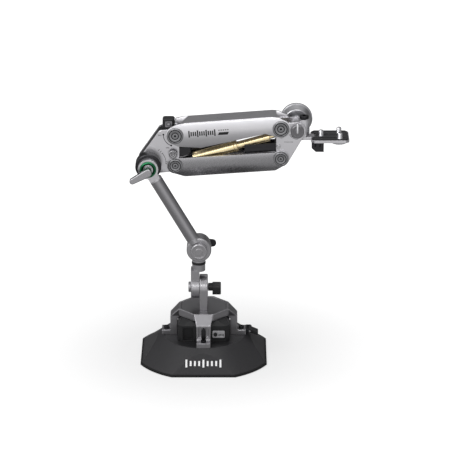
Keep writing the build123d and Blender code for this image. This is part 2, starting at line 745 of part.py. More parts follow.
# Elbow lever: hub on the front end of the bolt and a flat bar.
LEVER_BAR = (-34.5, -29.0)
LEVER_END = (-85.0, 237.6)
with BuildPart() as elbow_lever:
    with BuildSketch(front_plane(HEAD_HIGH[0] - GAP, ELBOW)):
        Circle(4.6)
    extrude(amount=HEAD_HIGH[0] - GAP - LEVER_BAR[1])
    with BuildSketch(front_plane(LEVER_BAR[1])) as bar_outline:
        with Locations(ELBOW):
            Circle(4.9)
        with Locations(LEVER_END):
            Circle(3.5)
        make_hull()
    extrude(amount=LEVER_BAR[1] - LEVER_BAR[0])
    fillet(elbow_lever.faces().sort_by(Axis.Y)[0].edges(), 1.2)
    with BuildSketch(front_plane(HEAD_HIGH[0], ELBOW)):
        Circle(ELBOW_BOLT_R + RUN)
    extrude(amount=9.2, mode=Mode.SUBTRACT)
export(elbow_lever, "elbow_lever")

# ================================================================ left knuckle
COLLAR_ELBOW = (ARM_Y + GAP, PLATE_FRONT[0])
export(
    y_disc(COLLAR_ELBOW, ELBOW, 15.8, ELBOW_BOLT_R + RUN, soften=1.0), "elbow_collar"
)


def left_outline(inset=0.0):
    """Hull of the left knuckle's four corners, drawn in the current sketch."""
    for centre, radius in (
        ((-36.0, 285.0), 7.2),
        ((-36.0, 245.0), 7.2),
        ((-49.5, 284.5), 6.0),
        (ELBOW, 13.0),
    ):
        with Locations(centre):
            Circle(radius - inset)
    make_hull()


def plate_pair(outline):
    """Front and back plate of a knuckle, from a function that draws one plate's outline."""
    plates = []
    for span, face in ((PLATE_FRONT, 0), (PLATE_BACK, -1)):
        with BuildPart() as plate:
            with BuildSketch(front_plane(span[1])):
                outline()
            extrude(amount=span[1] - span[0])
            chamfer(plate.faces().sort_by(Axis.Y)[face].outer_wire().edges(), 0.5)
        plates.append(plate.part)
    with BuildPart() as pair:
        add(plates)
    return pair


def left_plate_outline():
    left_outline()
    with Locations(PIVOT_TOP, PIVOT_LOW):
        Circle(PIN_R + PRESS, mode=Mode.SUBTRACT)
    with Locations(PIVOT_MID):
        Circle(MID_PIN_R + PRESS, mode=Mode.SUBTRACT)
    with Locations(ELBOW):
        Circle(ELBOW_BOLT_R + RUN, mode=Mode.SUBTRACT)


export(plate_pair(left_plate_outline), "left_plates")

# Spine: the wall that closes the knuckle's outer side, between the two plates.
SPINE_WALL = 3.6
TENSION = (-41.9, 16.0)  # X, Y of the tension screw
TENSION_BLOCK = (282.2, 290.0)  # Z span of the block it turns in
with BuildPart() as left_spine:
    with BuildSketch(front_plane(PLATE_BACK[0])) as spine_outer:
        left_outline(0.3)
    extrude(amount=PLATE_BACK[0] - PLATE_FRONT[1])
    with BuildSketch(front_plane(PLATE_BACK[0])) as spine_inner:
        left_outline(SPINE_WALL)
    extrude(amount=PLATE_BACK[0] - PLATE_FRONT[1], mode=Mode.SUBTRACT)
    with BuildSketch(front_plane(PLATE_BACK[0])) as spine_cut:
        Polygon(
            (-50.0, 300.0), (-20.0, 300.0), (-20.0, 228.0), (-60.0, 228.0), (-55.0, 240.0),
            (-50.0, 276.0), align=None,
        )
    extrude(amount=PLATE_BACK[0] - PLATE_FRONT[1], mode=Mode.SUBTRACT)
    with BuildSketch(Plane.XY.offset(TENSION_BLOCK[0])):
        with Locations((TENSION[0] - 2.0, TENSION[1])):
            Rectangle(13.6, PLATE_BACK[0] - PLATE_FRONT[1])
    extrude(amount=TENSION_BLOCK[1] - TENSION_BLOCK[0])
    with BuildSketch(Plane.XY.offset(TENSION_BLOCK[0])):
        with Locations(TENSION):
            Circle(PIN_R + RUN)
    extrude(amount=20.0, mode=Mode.SUBTRACT)
export(left_spine, "left_spine")

NUT_BACK = (PLATE_BACK[1] + GAP, 33.4)
with BuildPart() as elbow_nut:
    with BuildSketch(front_plane(NUT_BACK[1], ELBOW)):
        RegularPolygon(7.0, 6)
        Circle(ELBOW_BOLT_R + PRESS, mode=Mode.SUBTRACT)
    extrude(amount=NUT_BACK[1] - NUT_BACK[0])
export(elbow_nut, "elbow_nut")


def pivot_pins(places):
    """Plain pins along Y; each place is (centre, radius, y span)."""
    with BuildPart() as pins:
        for centre, radius, span in places:
            with BuildSketch(front_plane(span[1], centre)):
                Circle(radius)
            extrude(amount=span[1] - span[0])
    return pins


FULL_PIN = (CAP_FRONT[1], CAP_BACK[0])
left_pins = [
    (PIVOT_TOP, PIN_R, FULL_PIN),
    (PIVOT_LOW, PIN_R, FULL_PIN),
    (PIVOT_MID, MID_PIN_R, FULL_PIN),
]
export(pivot_pins(left_pins), "left_pivot_pins")


def pivot_caps(places):
    """Round caps on both sides, with a groove and a centre dimple in each outer face."""
    with BuildPart() as caps:
        for span, face, outward in ((CAP_FRONT, CAP_FRONT[0], -1), (CAP_BACK, CAP_BACK[1], 1)):
            for centre, radius in places:
                with BuildSketch(front_plane(span[1], centre)):
                    Circle(radius)
                extrude(amount=span[1] - span[0])
                rims = caps.edges().filter_by(GeomType.CIRCLE).filter_by_position(
                    Axis.Y, face - 0.01, face + 0.01
                )
                chamfer(rims.filter_by(lambda e: abs(e.radius - radius) < 0.001), 0.5)
                with BuildSketch(front_plane(face, centre)):
                    Circle(radius * 0.66)
                    Circle(radius * 0.52, mode=Mode.SUBTRACT)
                extrude(amount=outward * 0.6, mode=Mode.SUBTRACT)
                with BuildSketch(front_plane(face, centre)):
                    Circle(radius * 0.16)
                extrude(amount=outward * 1.0, mode=Mode.SUBTRACT)
    return caps


CAP_R = 10.0
CAP_LOW_R = 8.6
CAP_MID_R = 5.4
left_caps = [(PIVOT_TOP, CAP_R), (PIVOT_LOW, CAP_LOW_R), (PIVOT_MID, CAP_MID_R)]
export(pivot_caps(left_caps), "left_pivot_caps")

# Tension knob on top of the left knuckle, with its screw.
KNOB_SPAN = (TENSION_BLOCK[1] + GAP, 303.0)
KNOB_SIDE = 14.8
KNOB_CORNER_R = 4.4  # its corners clear the knuckle's plates as it turns
TENSION_TIP = 268.5  # low end of the knob's screw


def knob_side(side):
    """Plane on one of the knob's four sides, facing out: local x is level, local y is Z."""
    nx, ny = [(0, -1), (1, 0), (0, 1), (-1, 0)][side]
    half = KNOB_SIDE / 2
    origin = (TENSION[0] + nx * half, TENSION[1] + ny * half, (KNOB_SPAN[0] + KNOB_SPAN[1]) / 2)
    return Plane(origin=origin, x_dir=(-ny, nx, 0), z_dir=(nx, ny, 0))


with BuildPart() as tension_knob:
    with BuildSketch(Plane.XY.offset(KNOB_SPAN[0])):
        with Locations(TENSION):
            RectangleRounded(KNOB_SIDE, KNOB_SIDE, KNOB_CORNER_R)
    extrude(amount=KNOB_SPAN[1] - KNOB_SPAN[0])
    fillet(tension_knob.faces().sort_by(Axis.Z)[-1].edges(), 1.4)
    for side in range(4):
        with BuildSketch(knob_side(side)):
            RectangleRounded(8.6, 7.6, 1.2)
            RectangleRounded(4.6, 4.0, 0.8, mode=Mode.SUBTRACT)
        extrude(amount=-0.9, mode=Mode.SUBTRACT)
    with BuildSketch(Plane.XY.offset(TENSION_TIP)):
        with Locations(TENSION):
            Circle(PIN_R)
    extrude(amount=KNOB_SPAN[0] - TENSION_TIP)
export(tension_knob, "tension_knob")

# ================================================================ links
WALL_LOW = LINK_FRONT[0]
WALL_HIGH = LINK_BACK[1]


def channel(pivot, outline, end_r, web_low, web_high, keep_web, bend_side, bend_r):
    """Link folded to a channel: two walls joined by a web between two levels of the link's frame.

    outline and levels are in the link's own frame, with x along the link from the left pivot.
    bend_side is 1 where the folded edges are the lowest, -1 where they are the highest.
    """
    with BuildPart() as link:
        with BuildSketch(front_plane(WALL_HIGH, pivot, LINK_ANGLE)):
            Polygon(*outline, align=None)
            with Locations((0, 0), (LINK_LENGTH, 0)):
                Circle(end_r)
            with Locations((0, 0), (LINK_LENGTH, 0)):
                Circle(PIN_R + RUN, mode=Mode.SUBTRACT)
        extrude(amount=WALL_HIGH - WALL_LOW)
        with BuildSketch(front_plane(LINK_BACK[0], pivot, LINK_ANGLE)):
            with Locations((LINK_LENGTH / 2, (web_low + web_high) / 2)):
                Rectangle(LINK_LENGTH + 60, web_high - web_low)
        extrude(amount=LINK_BACK[0] - LINK_FRONT[1], mode=Mode.SUBTRACT)
        with BuildSketch(Plane.XY.offset(200)):
            Polygon(*keep_web[0], align=None)
            Polygon(*keep_web[1], align=None)
        extrude(amount=150, mode=Mode.SUBTRACT)
        long_edges = link.edges().filter_by(lambda e: e.length > 90).sort_by(
            lambda e: bend_side * e.center().Z
        )
        fillet(long_edges[:2], bend_r)
    return link


UPPER = [
    (-4.0, 10.6), (2.0, 13.4), (13.0, 15.0), (118.0, 15.5), (127.0, 14.0), (132.0, 10.6),
    (128.2, -11.2), (121.0, -9.7), (109.0, -5.2), (30.0, -17.6), (4.0, -14.3), (-4.0, -10.6),
]
# the web's ends are cut back inside the walls, slanting at the left
UPPER_CUTS = (
    [(-60, LINK_FRONT[1]), (-27.5, LINK_FRONT[1]), (-19.0, LINK_BACK[0]), (-60, LINK_BACK[0])],
    [(90.0, LINK_FRONT[1]), (120.0, LINK_FRONT[1]), (120.0, LINK_BACK[0]), (88.5, LINK_BACK[0])],
)
upper_link = channel(PIVOT_TOP, UPPER, 11.3, -40.0, 15.0 - WEB, UPPER_CUTS, -1, 1.2)
export(upper_link, "upper_link")

LOWER = [
    (-6.0, 8.8), (134.0, 8.0), (134.0, -8.0), (120.0, -15.3), (12.0, -15.3), (-6.0, -8.4),
]
LOWER_CUTS = (
    [(-60, LINK_FRONT[1]), (-21.0, LINK_FRONT[1]), (-21.0, LINK_BACK[0]), (-60, LINK_BACK[0])],
    [(82.0, LINK_FRONT[1]), (120.0, LINK_FRONT[1]), (120.0, LINK_BACK[0]), (82.0, LINK_BACK[0])],
)
lower_link = channel(PIVOT_LOW, LOWER, 10.2, -15.3 + WEB, 40.0, LOWER_CUTS, 1, 2.0)
export(lower_link, "lower_link")

# Centre bar: a full-width block at the left with a trimmed lower corner, a strip that passes
# behind the damper, and a second strip in front of the damper's rod, to a boss at the right.
BAR_HALF = 5.5
BAR_BLOCK = (7.3, 24.7)
BAR_BLOCK_END = 21.2
BAR_STRIP = (22.0, 24.7)
BAR_FRONT = (7.3, 9.3)
BAR_FRONT_START = 87.0  # clear of the damper's collar over the whole swing
BAR_DROP = 1.7  # the strips lie below the line of the pivots
with BuildPart() as centre_bar:
    with BuildSketch(front_plane(BAR_BLOCK[1], PIVOT_MID, LINK_ANGLE)):
        Circle(BAR_HALF)
        Polygon(
            (0, BAR_HALF), (BAR_BLOCK_END, BAR_HALF), (BAR_BLOCK_END, -1.2), (12.0, -BAR_HALF),
            (0, -BAR_HALF), align=None,
        )
    extrude(amount=BAR_BLOCK[1] - BAR_BLOCK[0])
    with BuildSketch(front_plane(BAR_STRIP[1], PIVOT_MID, LINK_ANGLE)):
        with Locations((LINK_LENGTH / 2 + 10, -BAR_DROP)):
            Rectangle(LINK_LENGTH - 20, 2 * BAR_HALF - 1.0)
    extrude(amount=BAR_STRIP[1] - BAR_STRIP[0])
    with BuildSketch(front_plane(BAR_FRONT[1], PIVOT_MID, LINK_ANGLE)):
        with Locations(((BAR_FRONT_START + LINK_LENGTH) / 2, -BAR_DROP)):
            Rectangle(LINK_LENGTH - BAR_FRONT_START, 2 * BAR_HALF - 1.0)
    extrude(amount=BAR_FRONT[1] - BAR_FRONT[0])
    with BuildSketch(front_plane(BAR_BLOCK[1], PIVOT_MID, LINK_ANGLE)):
        with Locations((LINK_LENGTH, 0)):
            Circle(BAR_HALF)
    extrude(amount=BAR_BLOCK[1] - BAR_BLOCK[0])
    with BuildSketch(front_plane(BAR_BLOCK[1] + 1, PIVOT_MID, LINK_ANGLE)):
        with Locations((0, 0), (LINK_LENGTH, 0)):
            Circle(MID_PIN_R + RUN)
    extrude(amount=30, mode=Mode.SUBTRACT)
export(centre_bar, "centre_bar")

# ================================================================ damper
DAMPER_VEC = (DAMPER_ANCHOR[0] - PIVOT_LOW[0], DAMPER_ANCHOR[1] - PIVOT_LOW[1])
DAMPER_LENGTH = math.hypot(*DAMPER_VEC)
DAMPER_DIR = (DAMPER_VEC[0] / DAMPER_LENGTH, DAMPER_VEC[1] / DAMPER_LENGTH)
NECK_END = 22.5  # distances along the damper from its lower pivot
BORE_START = 26.0
BORE_END = 74.0
COLLAR_END = 78.5
ROD_START = 42.0
ROD_CAP = 112.5
ROD_CAP_END = 118.5
BORE_R = 5.3


def damper_plane(distance):
    return along_plane(PIVOT_LOW, DAMPER_Y, DAMPER_DIR, distance)


def damper_run(start, end, radius, mode=Mode.ADD):
    """Round stretch of the damper between two distances along its axis."""
    with BuildSketch(damper_plane(start)) as section:
        Circle(radius)
    extrude(section.sketch, amount=end - start, mode=mode)


EYE_HALF = 3.5
with BuildPart() as damper_eye:
    with BuildSketch(front_plane(DAMPER_Y + EYE_HALF, PIVOT_LOW)):
        Circle(6.4)
    extrude(amount=2 * EYE_HALF)
    damper_run(4.0, NECK_END, 3.5)
    with BuildSketch(front_plane(DAMPER_Y + 10, PIVOT_LOW)):
        Circle(PIN_R + RUN)
    extrude(amount=20, mode=Mode.SUBTRACT)
export(damper_eye, "damper_eye")

with BuildPart() as damper_cylinder:
    damper_run(NECK_END, BORE_END, TUBE_BIG_R)
    damper_run(BORE_START, BORE_END, BORE_R, mode=Mode.SUBTRACT)
export(damper_cylinder, "damper_cylinder")

with BuildPart() as damper_collar:
    damper_run(BORE_END, COLLAR_END, TUBE_BIG_R + 0.5)
    chamfer(damper_collar.edges(), 0.7)
    damper_run(BORE_END - 1, COLLAR_END + 1, ROD_R + RUN, mode=Mode.SUBTRACT)
export(damper_collar, "damper_collar")

with BuildPart() as damper_rod:
    damper_run(ROD_START, ROD_CAP, ROD_R)
    damper_run(ROD_START - 4.0, ROD_START, BORE_R - RUN)
export(damper_rod, "damper_rod")

# Rod end: black cap, thin shank and an eye that is larger than its pin, where the loop is open.
OPEN_EYE_R = 5.0
with BuildPart() as rod_end:
    damper_run(ROD_CAP, ROD_CAP_END, ROD_R + 0.4)
    damper_run(ROD_CAP_END, DAMPER_LENGTH - 5.6, 2.6)
    with BuildSketch(front_plane(DAMPER_Y + EYE_HALF, DAMPER_ANCHOR)):
        Circle(OPEN_EYE_R + 1.8)
    extrude(amount=2 * EYE_HALF)
    with BuildSketch(front_plane(DAMPER_Y + 10, DAMPER_ANCHOR)):
        Circle(OPEN_EYE_R)
    extrude(amount=20, mode=Mode.SUBTRACT)
export(rod_end, "damper_rod_end")

# ================================================================ right knuckle
PIVOT_TOP_R = across(PIVOT_TOP)
PIVOT_LOW_R = across(PIVOT_LOW)
PIVOT_MID_R = across(PIVOT_MID)
TILT_PIN_R = 3.5


def right_plate_outline():
    for centre, radius in (
        ((PIVOT_TOP_R[0] + 0.5, PIVOT_TOP_R[1]), 6.2),
        ((PIVOT_LOW_R[0] + 0.5, PIVOT_LOW_R[1] - 0.4), 6.2),
        ((97.5, 253.0), 6.6),
        (TILT, 10.4),
    ):
        with Locations(centre):
            Circle(radius)
    make_hull()
    with Locations(PIVOT_TOP_R, PIVOT_LOW_R, DAMPER_ANCHOR):
        Circle(PIN_R + PRESS, mode=Mode.SUBTRACT)
    with Locations(PIVOT_MID_R):
        Circle(MID_PIN_R + PRESS, mode=Mode.SUBTRACT)
    with Locations(TILT):
        Circle(TILT_PIN_R + RUN, mode=Mode.SUBTRACT)


export(plate_pair(right_plate_outline), "right_plates")

with BuildPart() as right_spacer:
    with BuildSketch(front_plane(PLATE_BACK[0])):
        Polygon((98.0, 254.5), (102.0, 254.5), (107.5, 266.5), (107.5, 272.0), (102.0, 272.0),
                align=None)
    extrude(amount=PLATE_BACK[0] - PLATE_FRONT[1])
export(right_spacer, "right_spacer")

right_pins = [
    (PIVOT_TOP_R, PIN_R, (FULL_PIN[0], PLATE_FRONT[1])),
    (PIVOT_TOP_R, PIN_R, (PLATE_BACK[0], FULL_PIN[1])),
    (PIVOT_LOW_R, PIN_R, FULL_PIN),
    (PIVOT_MID_R, MID_PIN_R, FULL_PIN),
    (DAMPER_ANCHOR, PIN_R, (PLATE_FRONT[0], PLATE_BACK[1])),
]
export(pivot_pins(right_pins), "right_pivot_pins")

right_caps = [(PIVOT_TOP_R, CAP_R), (PIVOT_LOW_R, CAP_LOW_R)]
export(pivot_caps(right_caps), "right_pivot_caps")

# ================================================================ head
BARREL_R = 6.6
BARREL = (281.0, 302.0)
TONGUE_HEAD = (PLATE_FRONT[1] + GAP, PLATE_BACK[0] - GAP)
PAN_PIN_R = 3.4
with BuildPart() as head_block:
    with BuildSketch(front_plane(TONGUE_HEAD[1])):
        with Locations(TILT):
            Circle(9.3)
        Polygon((TILT[0], 281.0), (PAN[0], 281.0), (PAN[0], 302.0), (TILT[0] - 2.0, 298.6),
                align=None)
    extrude(amount=TONGUE_HEAD[1] - TONGUE_HEAD[0])
    with BuildSketch(Plane.XY.offset(BARREL[0])):
        with Locations((PAN[0], PAN[1])):
            Circle(BARREL_R)
        with Locations((PAN[0] - 1.0, PAN[1])):
            Rectangle(6.0, TONGUE_HEAD[1] - TONGUE_HEAD[0])
    extrude(amount=BARREL[1] - BARREL[0])
    with BuildSketch(Plane.XY.offset(BARREL[0] - 12)):
        with Locations((PAN[0], PAN[1])):
            Circle(PAN_PIN_R + RUN)
    extrude(amount=60.0, mode=Mode.SUBTRACT)
    with BuildSketch(front_plane(60.0, TILT)):
        Circle(TILT_PIN_R + PRESS)
    extrude(amount=80.0, mode=Mode.SUBTRACT)
export(head_block, "head_block")

DRUM_HUB = (32.0, 39.0)
DRUM_END = 55.0
with BuildPart() as tilt_pin:
    with BuildSketch(front_plane(PLATE_FRONT[0] - 0.2, TILT)):
        Circle(8.1)
    extrude(amount=PLATE_FRONT[0] - 0.2 + 2.4)
    with BuildSketch(front_plane(-2.4, TILT)):
        Circle(5.4)
        Circle(4.2, mode=Mode.SUBTRACT)
    extrude(amount=-0.6, mode=Mode.SUBTRACT)
    rim = tilt_pin.edges().filter_by(GeomType.CIRCLE).group_by(SortBy.RADIUS)[-1]
    chamfer(rim.sort_by(Axis.Y)[0], 0.6)
    with BuildSketch(front_plane(DRUM_HUB[1] + 4.0, TILT)):
        Circle(TILT_PIN_R)
    extrude(amount=DRUM_HUB[1] + 4.0 - PLATE_FRONT[0] + 0.2)
export(tilt_pin, "tilt_pin")

# Tilt drum: a flared bell on the back end of the tilt pin.
DRUM_PROFILE = [
    (0.0, DRUM_HUB[0]), (7.0, DRUM_HUB[0]), (7.0, DRUM_HUB[1]), (14.8, DRUM_HUB[1]),
    (15.6, DRUM_HUB[1] + 0.8), (15.8, DRUM_HUB[1] + 2.5), (18.4, 50.5), (19.5, 51.2),
    (19.8, 52.0), (19.8, 54.2), (19.0, DRUM_END), (16.8, DRUM_END), (16.0, 52.4), (0.0, 52.4),
]
with BuildPart() as tilt_drum:
    with BuildSketch(Plane(origin=(TILT[0], 0, TILT[1]), x_dir=(1, 0, 0), z_dir=(0, 0, 1))):
        Polygon(*DRUM_PROFILE, align=None)
    revolve(axis=Axis((TILT[0], 0, TILT[1]), (0, 1, 0)), revolution_arc=360)
    with BuildSketch(front_plane(DRUM_HUB[1] + 4.2, TILT)):
        Circle(TILT_PIN_R + RUN)
    extrude(amount=20.0, mode=Mode.SUBTRACT)
export(tilt_drum, "tilt_drum")

with BuildPart() as pan_bolt:
    with BuildSketch(Plane.XY.offset(PLATE_LOW)):
        with Locations(PAN):
            Circle(PAN_PIN_R)
    extrude(amount=BARREL[1] + GAP - PLATE_LOW)
    with BuildSketch(Plane.XY.offset(BARREL[1] + GAP)):
        with Locations(PAN):
            Circle(5.6)
    extrude(amount=3.2)
    chamfer(pan_bolt.edges().sort_by(Axis.Z)[-1], 0.6)
    with BuildSketch(Plane.XY.offset(BARREL[1] + GAP + 3.2)):
        with Locations(PAN):
            RegularPolygon(2.6, 6)
    extrude(amount=-1.8, mode=Mode.SUBTRACT)
export(pan_bolt, "pan_bolt")

PLATE_MID = ((PLATE_X[0] + PLATE_X[1]) / 2, (PLATE_Y[0] + PLATE_Y[1]) / 2)
PLATE_SIZE = (PLATE_X[1] - PLATE_X[0], PLATE_Y[1] - PLATE_Y[0])
STUDS = [(143.1, 14.0), (165.2, 25.0), (165.6, 3.0)]
STUD_R = 3.175  # quarter-inch studs
STUD_ROOT_R = 3.8
STUD_HEIGHT = 6.8
STUD_LOW = 278.0  # the studs are set in blind holes
SCREW_AT = (165.0, 14.0)
WING_AT = (139.3, 16.0)
WING_SCREW = 1.4  # depth of the wing's screw in the plate
with BuildPart() as camera_plate:
    with BuildSketch(Plane.XY.offset(PLATE_LOW)) as plate_outline:
        with Locations(PLATE_MID):
            Rectangle(*PLATE_SIZE)
        chamfer(plate_outline.vertices(), 4.0)
    extrude(amount=PLATE_METAL - PLATE_LOW)
    with BuildSketch(Plane.XY.offset(PLATE_LOW)):
        with Locations(((PAN[0] + PLATE_X[0] + 4) / 2, PAN[1])):
            Rectangle(PLATE_X[0] + 4 - PAN[0], 14.0)
        with Locations(PAN):
            Circle(7.0)
    extrude(amount=PLATE_METAL - PLATE_LOW + 0.6)
    with BuildSketch(Plane.XY.offset(PLATE_LOW)):
        with Locations(PAN):
            Circle(PAN_PIN_R + PRESS)
        with Locations(SCREW_AT):
            Circle(PIN_R + RUN)
    extrude(amount=10.0, mode=Mode.SUBTRACT)
    with BuildSketch(Plane.XY.offset(PLATE_LOW)):
        with Locations(WING_AT):
            Circle(MID_PIN_R + RUN)
    extrude(amount=WING_SCREW + 0.1, mode=Mode.SUBTRACT)
    with BuildSketch(Plane.XY.offset(STUD_LOW)):
        with Locations(*STUDS):
            Circle(STUD_ROOT_R + PRESS)
    extrude(amount=PLATE_METAL - STUD_LOW, mode=Mode.SUBTRACT)
export(camera_plate, "camera_plate")

with BuildPart() as rubber_pad:
    with BuildSketch(Plane.XY.offset(PLATE_METAL)) as pad_outline:
        with Locations(PLATE_MID):
            Rectangle(PLATE_SIZE[0] - 2.4, PLATE_SIZE[1] - 2.4)
        chamfer(pad_outline.vertices(), 3.4)
        with Locations((PLATE_X[0] + 2.0, PAN[1])):
            Rectangle(8.0, 14.4, mode=Mode.SUBTRACT)
        with Locations(*STUDS):
            Circle(STUD_ROOT_R + PRESS, mode=Mode.SUBTRACT)
    extrude(amount=PLATE_TOP - PLATE_METAL)
    with BuildSketch(Plane.XY.offset(PLATE_TOP)):
        with GridLocations(0, 9.0, 1, 3):
            with Locations((151.5, PAN[1])):
                SlotOverall(19.0, 2.0)
    extrude(amount=-0.7, mode=Mode.SUBTRACT)
export(rubber_pad, "rubber_pad")

with BuildPart() as camera_studs:
    with BuildSketch(Plane.XY.offset(STUD_LOW)):
        with Locations(*STUDS):
            Circle(STUD_ROOT_R)
    extrude(amount=PLATE_TOP - STUD_LOW)
    with BuildSketch(Plane.XY.offset(PLATE_TOP)):
        with Locations(*STUDS):
            Circle(STUD_R)
    extrude(amount=STUD_HEIGHT)
    chamfer(camera_studs.edges().group_by(Axis.Z)[-1], 0.6)
export(camera_studs, "camera_studs")

SCREW_KNOB_R = 8.85
FLUTES = 18
with BuildPart() as screw_knob:
    with BuildSketch(Plane.XY.offset(271.6)):
        with Locations(SCREW_AT):
            Circle(SCREW_KNOB_R)
            with PolarLocations(SCREW_KNOB_R + 0.35, FLUTES):
                Circle(0.8, mode=Mode.SUBTRACT)
    extrude(amount=PLATE_LOW - GAP - 271.6)
    with BuildSketch(Plane.XY.offset(PLATE_LOW - GAP)):
        with Locations(SCREW_AT):
            Circle(PIN_R)
    extrude(amount=3.4)
export(screw_knob, "screw_knob")

with BuildPart() as plate_wing:
    with BuildSketch(front_plane(WING_AT[1] + 2.4)):
        Polygon((131.9, PLATE_LOW - 2.6), (131.9, 264.5), (137.0, 259.7), (146.7, 259.7),
                (146.7, PLATE_LOW - 2.6), align=None)
    extrude(amount=4.8)
    with BuildSketch(Plane.XY.offset(266.0)):
        with Locations(WING_AT):
            Circle(4.4)
    extrude(amount=PLATE_LOW - GAP - 266.0)
    with BuildSketch(Plane.XY.offset(PLATE_LOW - GAP)):
        with Locations(WING_AT):
            Circle(MID_PIN_R)
    extrude(amount=GAP + WING_SCREW)
export(plate_wing, "plate_wing")
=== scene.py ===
"""Looks of the damped parallelogram arm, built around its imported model.

Metres, +Z up, in the model's own frame: +X along the links, -Y towards the front.
"""

import json
import math

import bmesh
import bpy
from mathutils import Matrix, Vector
from mathutils.geometry import convex_hull_2d


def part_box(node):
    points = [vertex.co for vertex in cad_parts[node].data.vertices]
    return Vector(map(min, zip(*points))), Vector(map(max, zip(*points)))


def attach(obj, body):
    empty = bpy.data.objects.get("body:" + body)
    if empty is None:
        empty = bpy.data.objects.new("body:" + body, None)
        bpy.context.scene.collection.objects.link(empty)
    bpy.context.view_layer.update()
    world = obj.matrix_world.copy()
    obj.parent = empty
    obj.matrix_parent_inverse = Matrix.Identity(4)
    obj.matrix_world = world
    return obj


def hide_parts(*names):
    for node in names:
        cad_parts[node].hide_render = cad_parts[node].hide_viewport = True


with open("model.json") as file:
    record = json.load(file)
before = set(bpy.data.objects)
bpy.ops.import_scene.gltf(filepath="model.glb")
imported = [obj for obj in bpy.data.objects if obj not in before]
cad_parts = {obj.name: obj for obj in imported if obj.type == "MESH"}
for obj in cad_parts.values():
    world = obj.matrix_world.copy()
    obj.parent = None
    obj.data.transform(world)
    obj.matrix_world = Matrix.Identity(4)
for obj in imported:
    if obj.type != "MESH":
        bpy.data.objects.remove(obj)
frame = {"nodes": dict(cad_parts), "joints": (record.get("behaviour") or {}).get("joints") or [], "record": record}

MM = 0.001
NODES = frame["nodes"]
PIVOT = {joint["name"]: Vector(joint["pos_m"]) for joint in frame["joints"] if joint.get("pos_m")}
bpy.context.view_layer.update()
FRONT = Vector((0, -1, 0))
BACK = Vector((0, 1, 0))
UP = Vector((0, 0, 1))


# ---------------------------------------------------------------- materials
def add_node(tree, kind, inputs=None, **settings):
    """Shader node with its settings; an input is a constant or another node's output."""
    made = tree.nodes.new(kind)
    for key, value in settings.items():
        setattr(made, key, value)
    for key, value in (inputs or {}).items():
        if isinstance(value, bpy.types.NodeSocket):
            tree.links.new(value, made.inputs[key])
        else:
            made.inputs[key].default_value = value
    return made


class Finish:
    """One procedural material: a Principled shader whose colour, roughness and relief are noise."""

    def __init__(self, name, metallic=0.0, coat=0.0, specular=0.5):
        self.material = bpy.data.materials.new(name)
        self.material.use_nodes = True
        self.tree = self.material.node_tree
        self.shader = self.tree.nodes["Principled BSDF"]
        self.shader.inputs["Metallic"].default_value = metallic
        self.shader.inputs["Coat Weight"].default_value = coat
        self.shader.inputs["Coat Roughness"].default_value = 0.15
        self.shader.inputs["Specular IOR Level"].default_value = specular
        self.place = self.node("ShaderNodeTexCoord").outputs["Object"]

    def node(self, kind, inputs=None, **settings):
        return add_node(self.tree, kind, inputs, **settings)

    def math(self, operation, a, b=0.0):
        return self.node("ShaderNodeMath", {0: a, 1: b}, operation=operation).outputs[0]

    def noise(self, size, stretch=(1, 1, 1), detail=2.0):
        """Noise from 0 to 1, with features of a size in metres, stretched along the axes."""
        scale = tuple(1 / s for s in stretch)
        place = self.node("ShaderNodeVectorMath", {0: self.place, 1: scale}, operation="MULTIPLY")
        inputs = {"Vector": place.outputs[0], "Scale": 1 / size, "Detail": detail}
        return self.node("ShaderNodeTexNoise", inputs).outputs["Fac"]

    def rings(self, size):
        """Noise that varies only with the distance from the piece's own Z axis."""
        flat = self.node("ShaderNodeVectorMath", {0: self.place, 1: (1, 1, 0)}, operation="MULTIPLY")
        radius = self.node("ShaderNodeVectorMath", {0: flat.outputs[0]}, operation="LENGTH")
        inputs = {"W": radius.outputs["Value"], "Scale": 1 / size, "Detail": 2.0}
        return self.node("ShaderNodeTexNoise", inputs, noise_dimensions="1D").outputs["Fac"]

    def spread(self, value, low, high, start=0.3, end=0.7):
        inputs = {"Value": value, "From Min": start, "From Max": end, "To Min": low, "To Max": high}
        return self.node("ShaderNodeMapRange", inputs).outputs["Result"]

    def mix(self, factor, a, b):
        made = self.node("ShaderNodeMix", {0: factor, 6: a, 7: b}, data_type="RGBA")
        return made.outputs[2]

    def edges(self, radius):
        """Normal rounded over the edges, and a mask that is 1 on them."""
        rounded = self.node("ShaderNodeBevel", {"Radius": radius}, samples=4).outputs["Normal"]
        flat = self.node("ShaderNodeNewGeometry").outputs["Normal"]
        facing = self.node("ShaderNodeVectorMath", {0: rounded, 1: flat}, operation="DOT_PRODUCT")
        return rounded, self.spread(facing.outputs["Value"], 1.0, 0.0, start=0.86, end=0.99)

    def bump(self, height, distance, normal=None, strength=1.0):
        inputs = {"Height": height, "Distance": distance, "Strength": strength}
        if normal is not None:
            inputs["Normal"] = normal
        return self.node("ShaderNodeBump", inputs).outputs["Normal"]

    def wire(self, colour, roughness, normal):
        self.tree.links.new(colour, self.shader.inputs["Base Color"])
        self.tree.links.new(roughness, self.shader.inputs["Roughness"])
        self.tree.links.new(normal, self.shader.inputs["Normal"])
        return self.material


def tone(colour, factor):
    return (*[min(1.0, c * factor) for c in colour], 1.0)


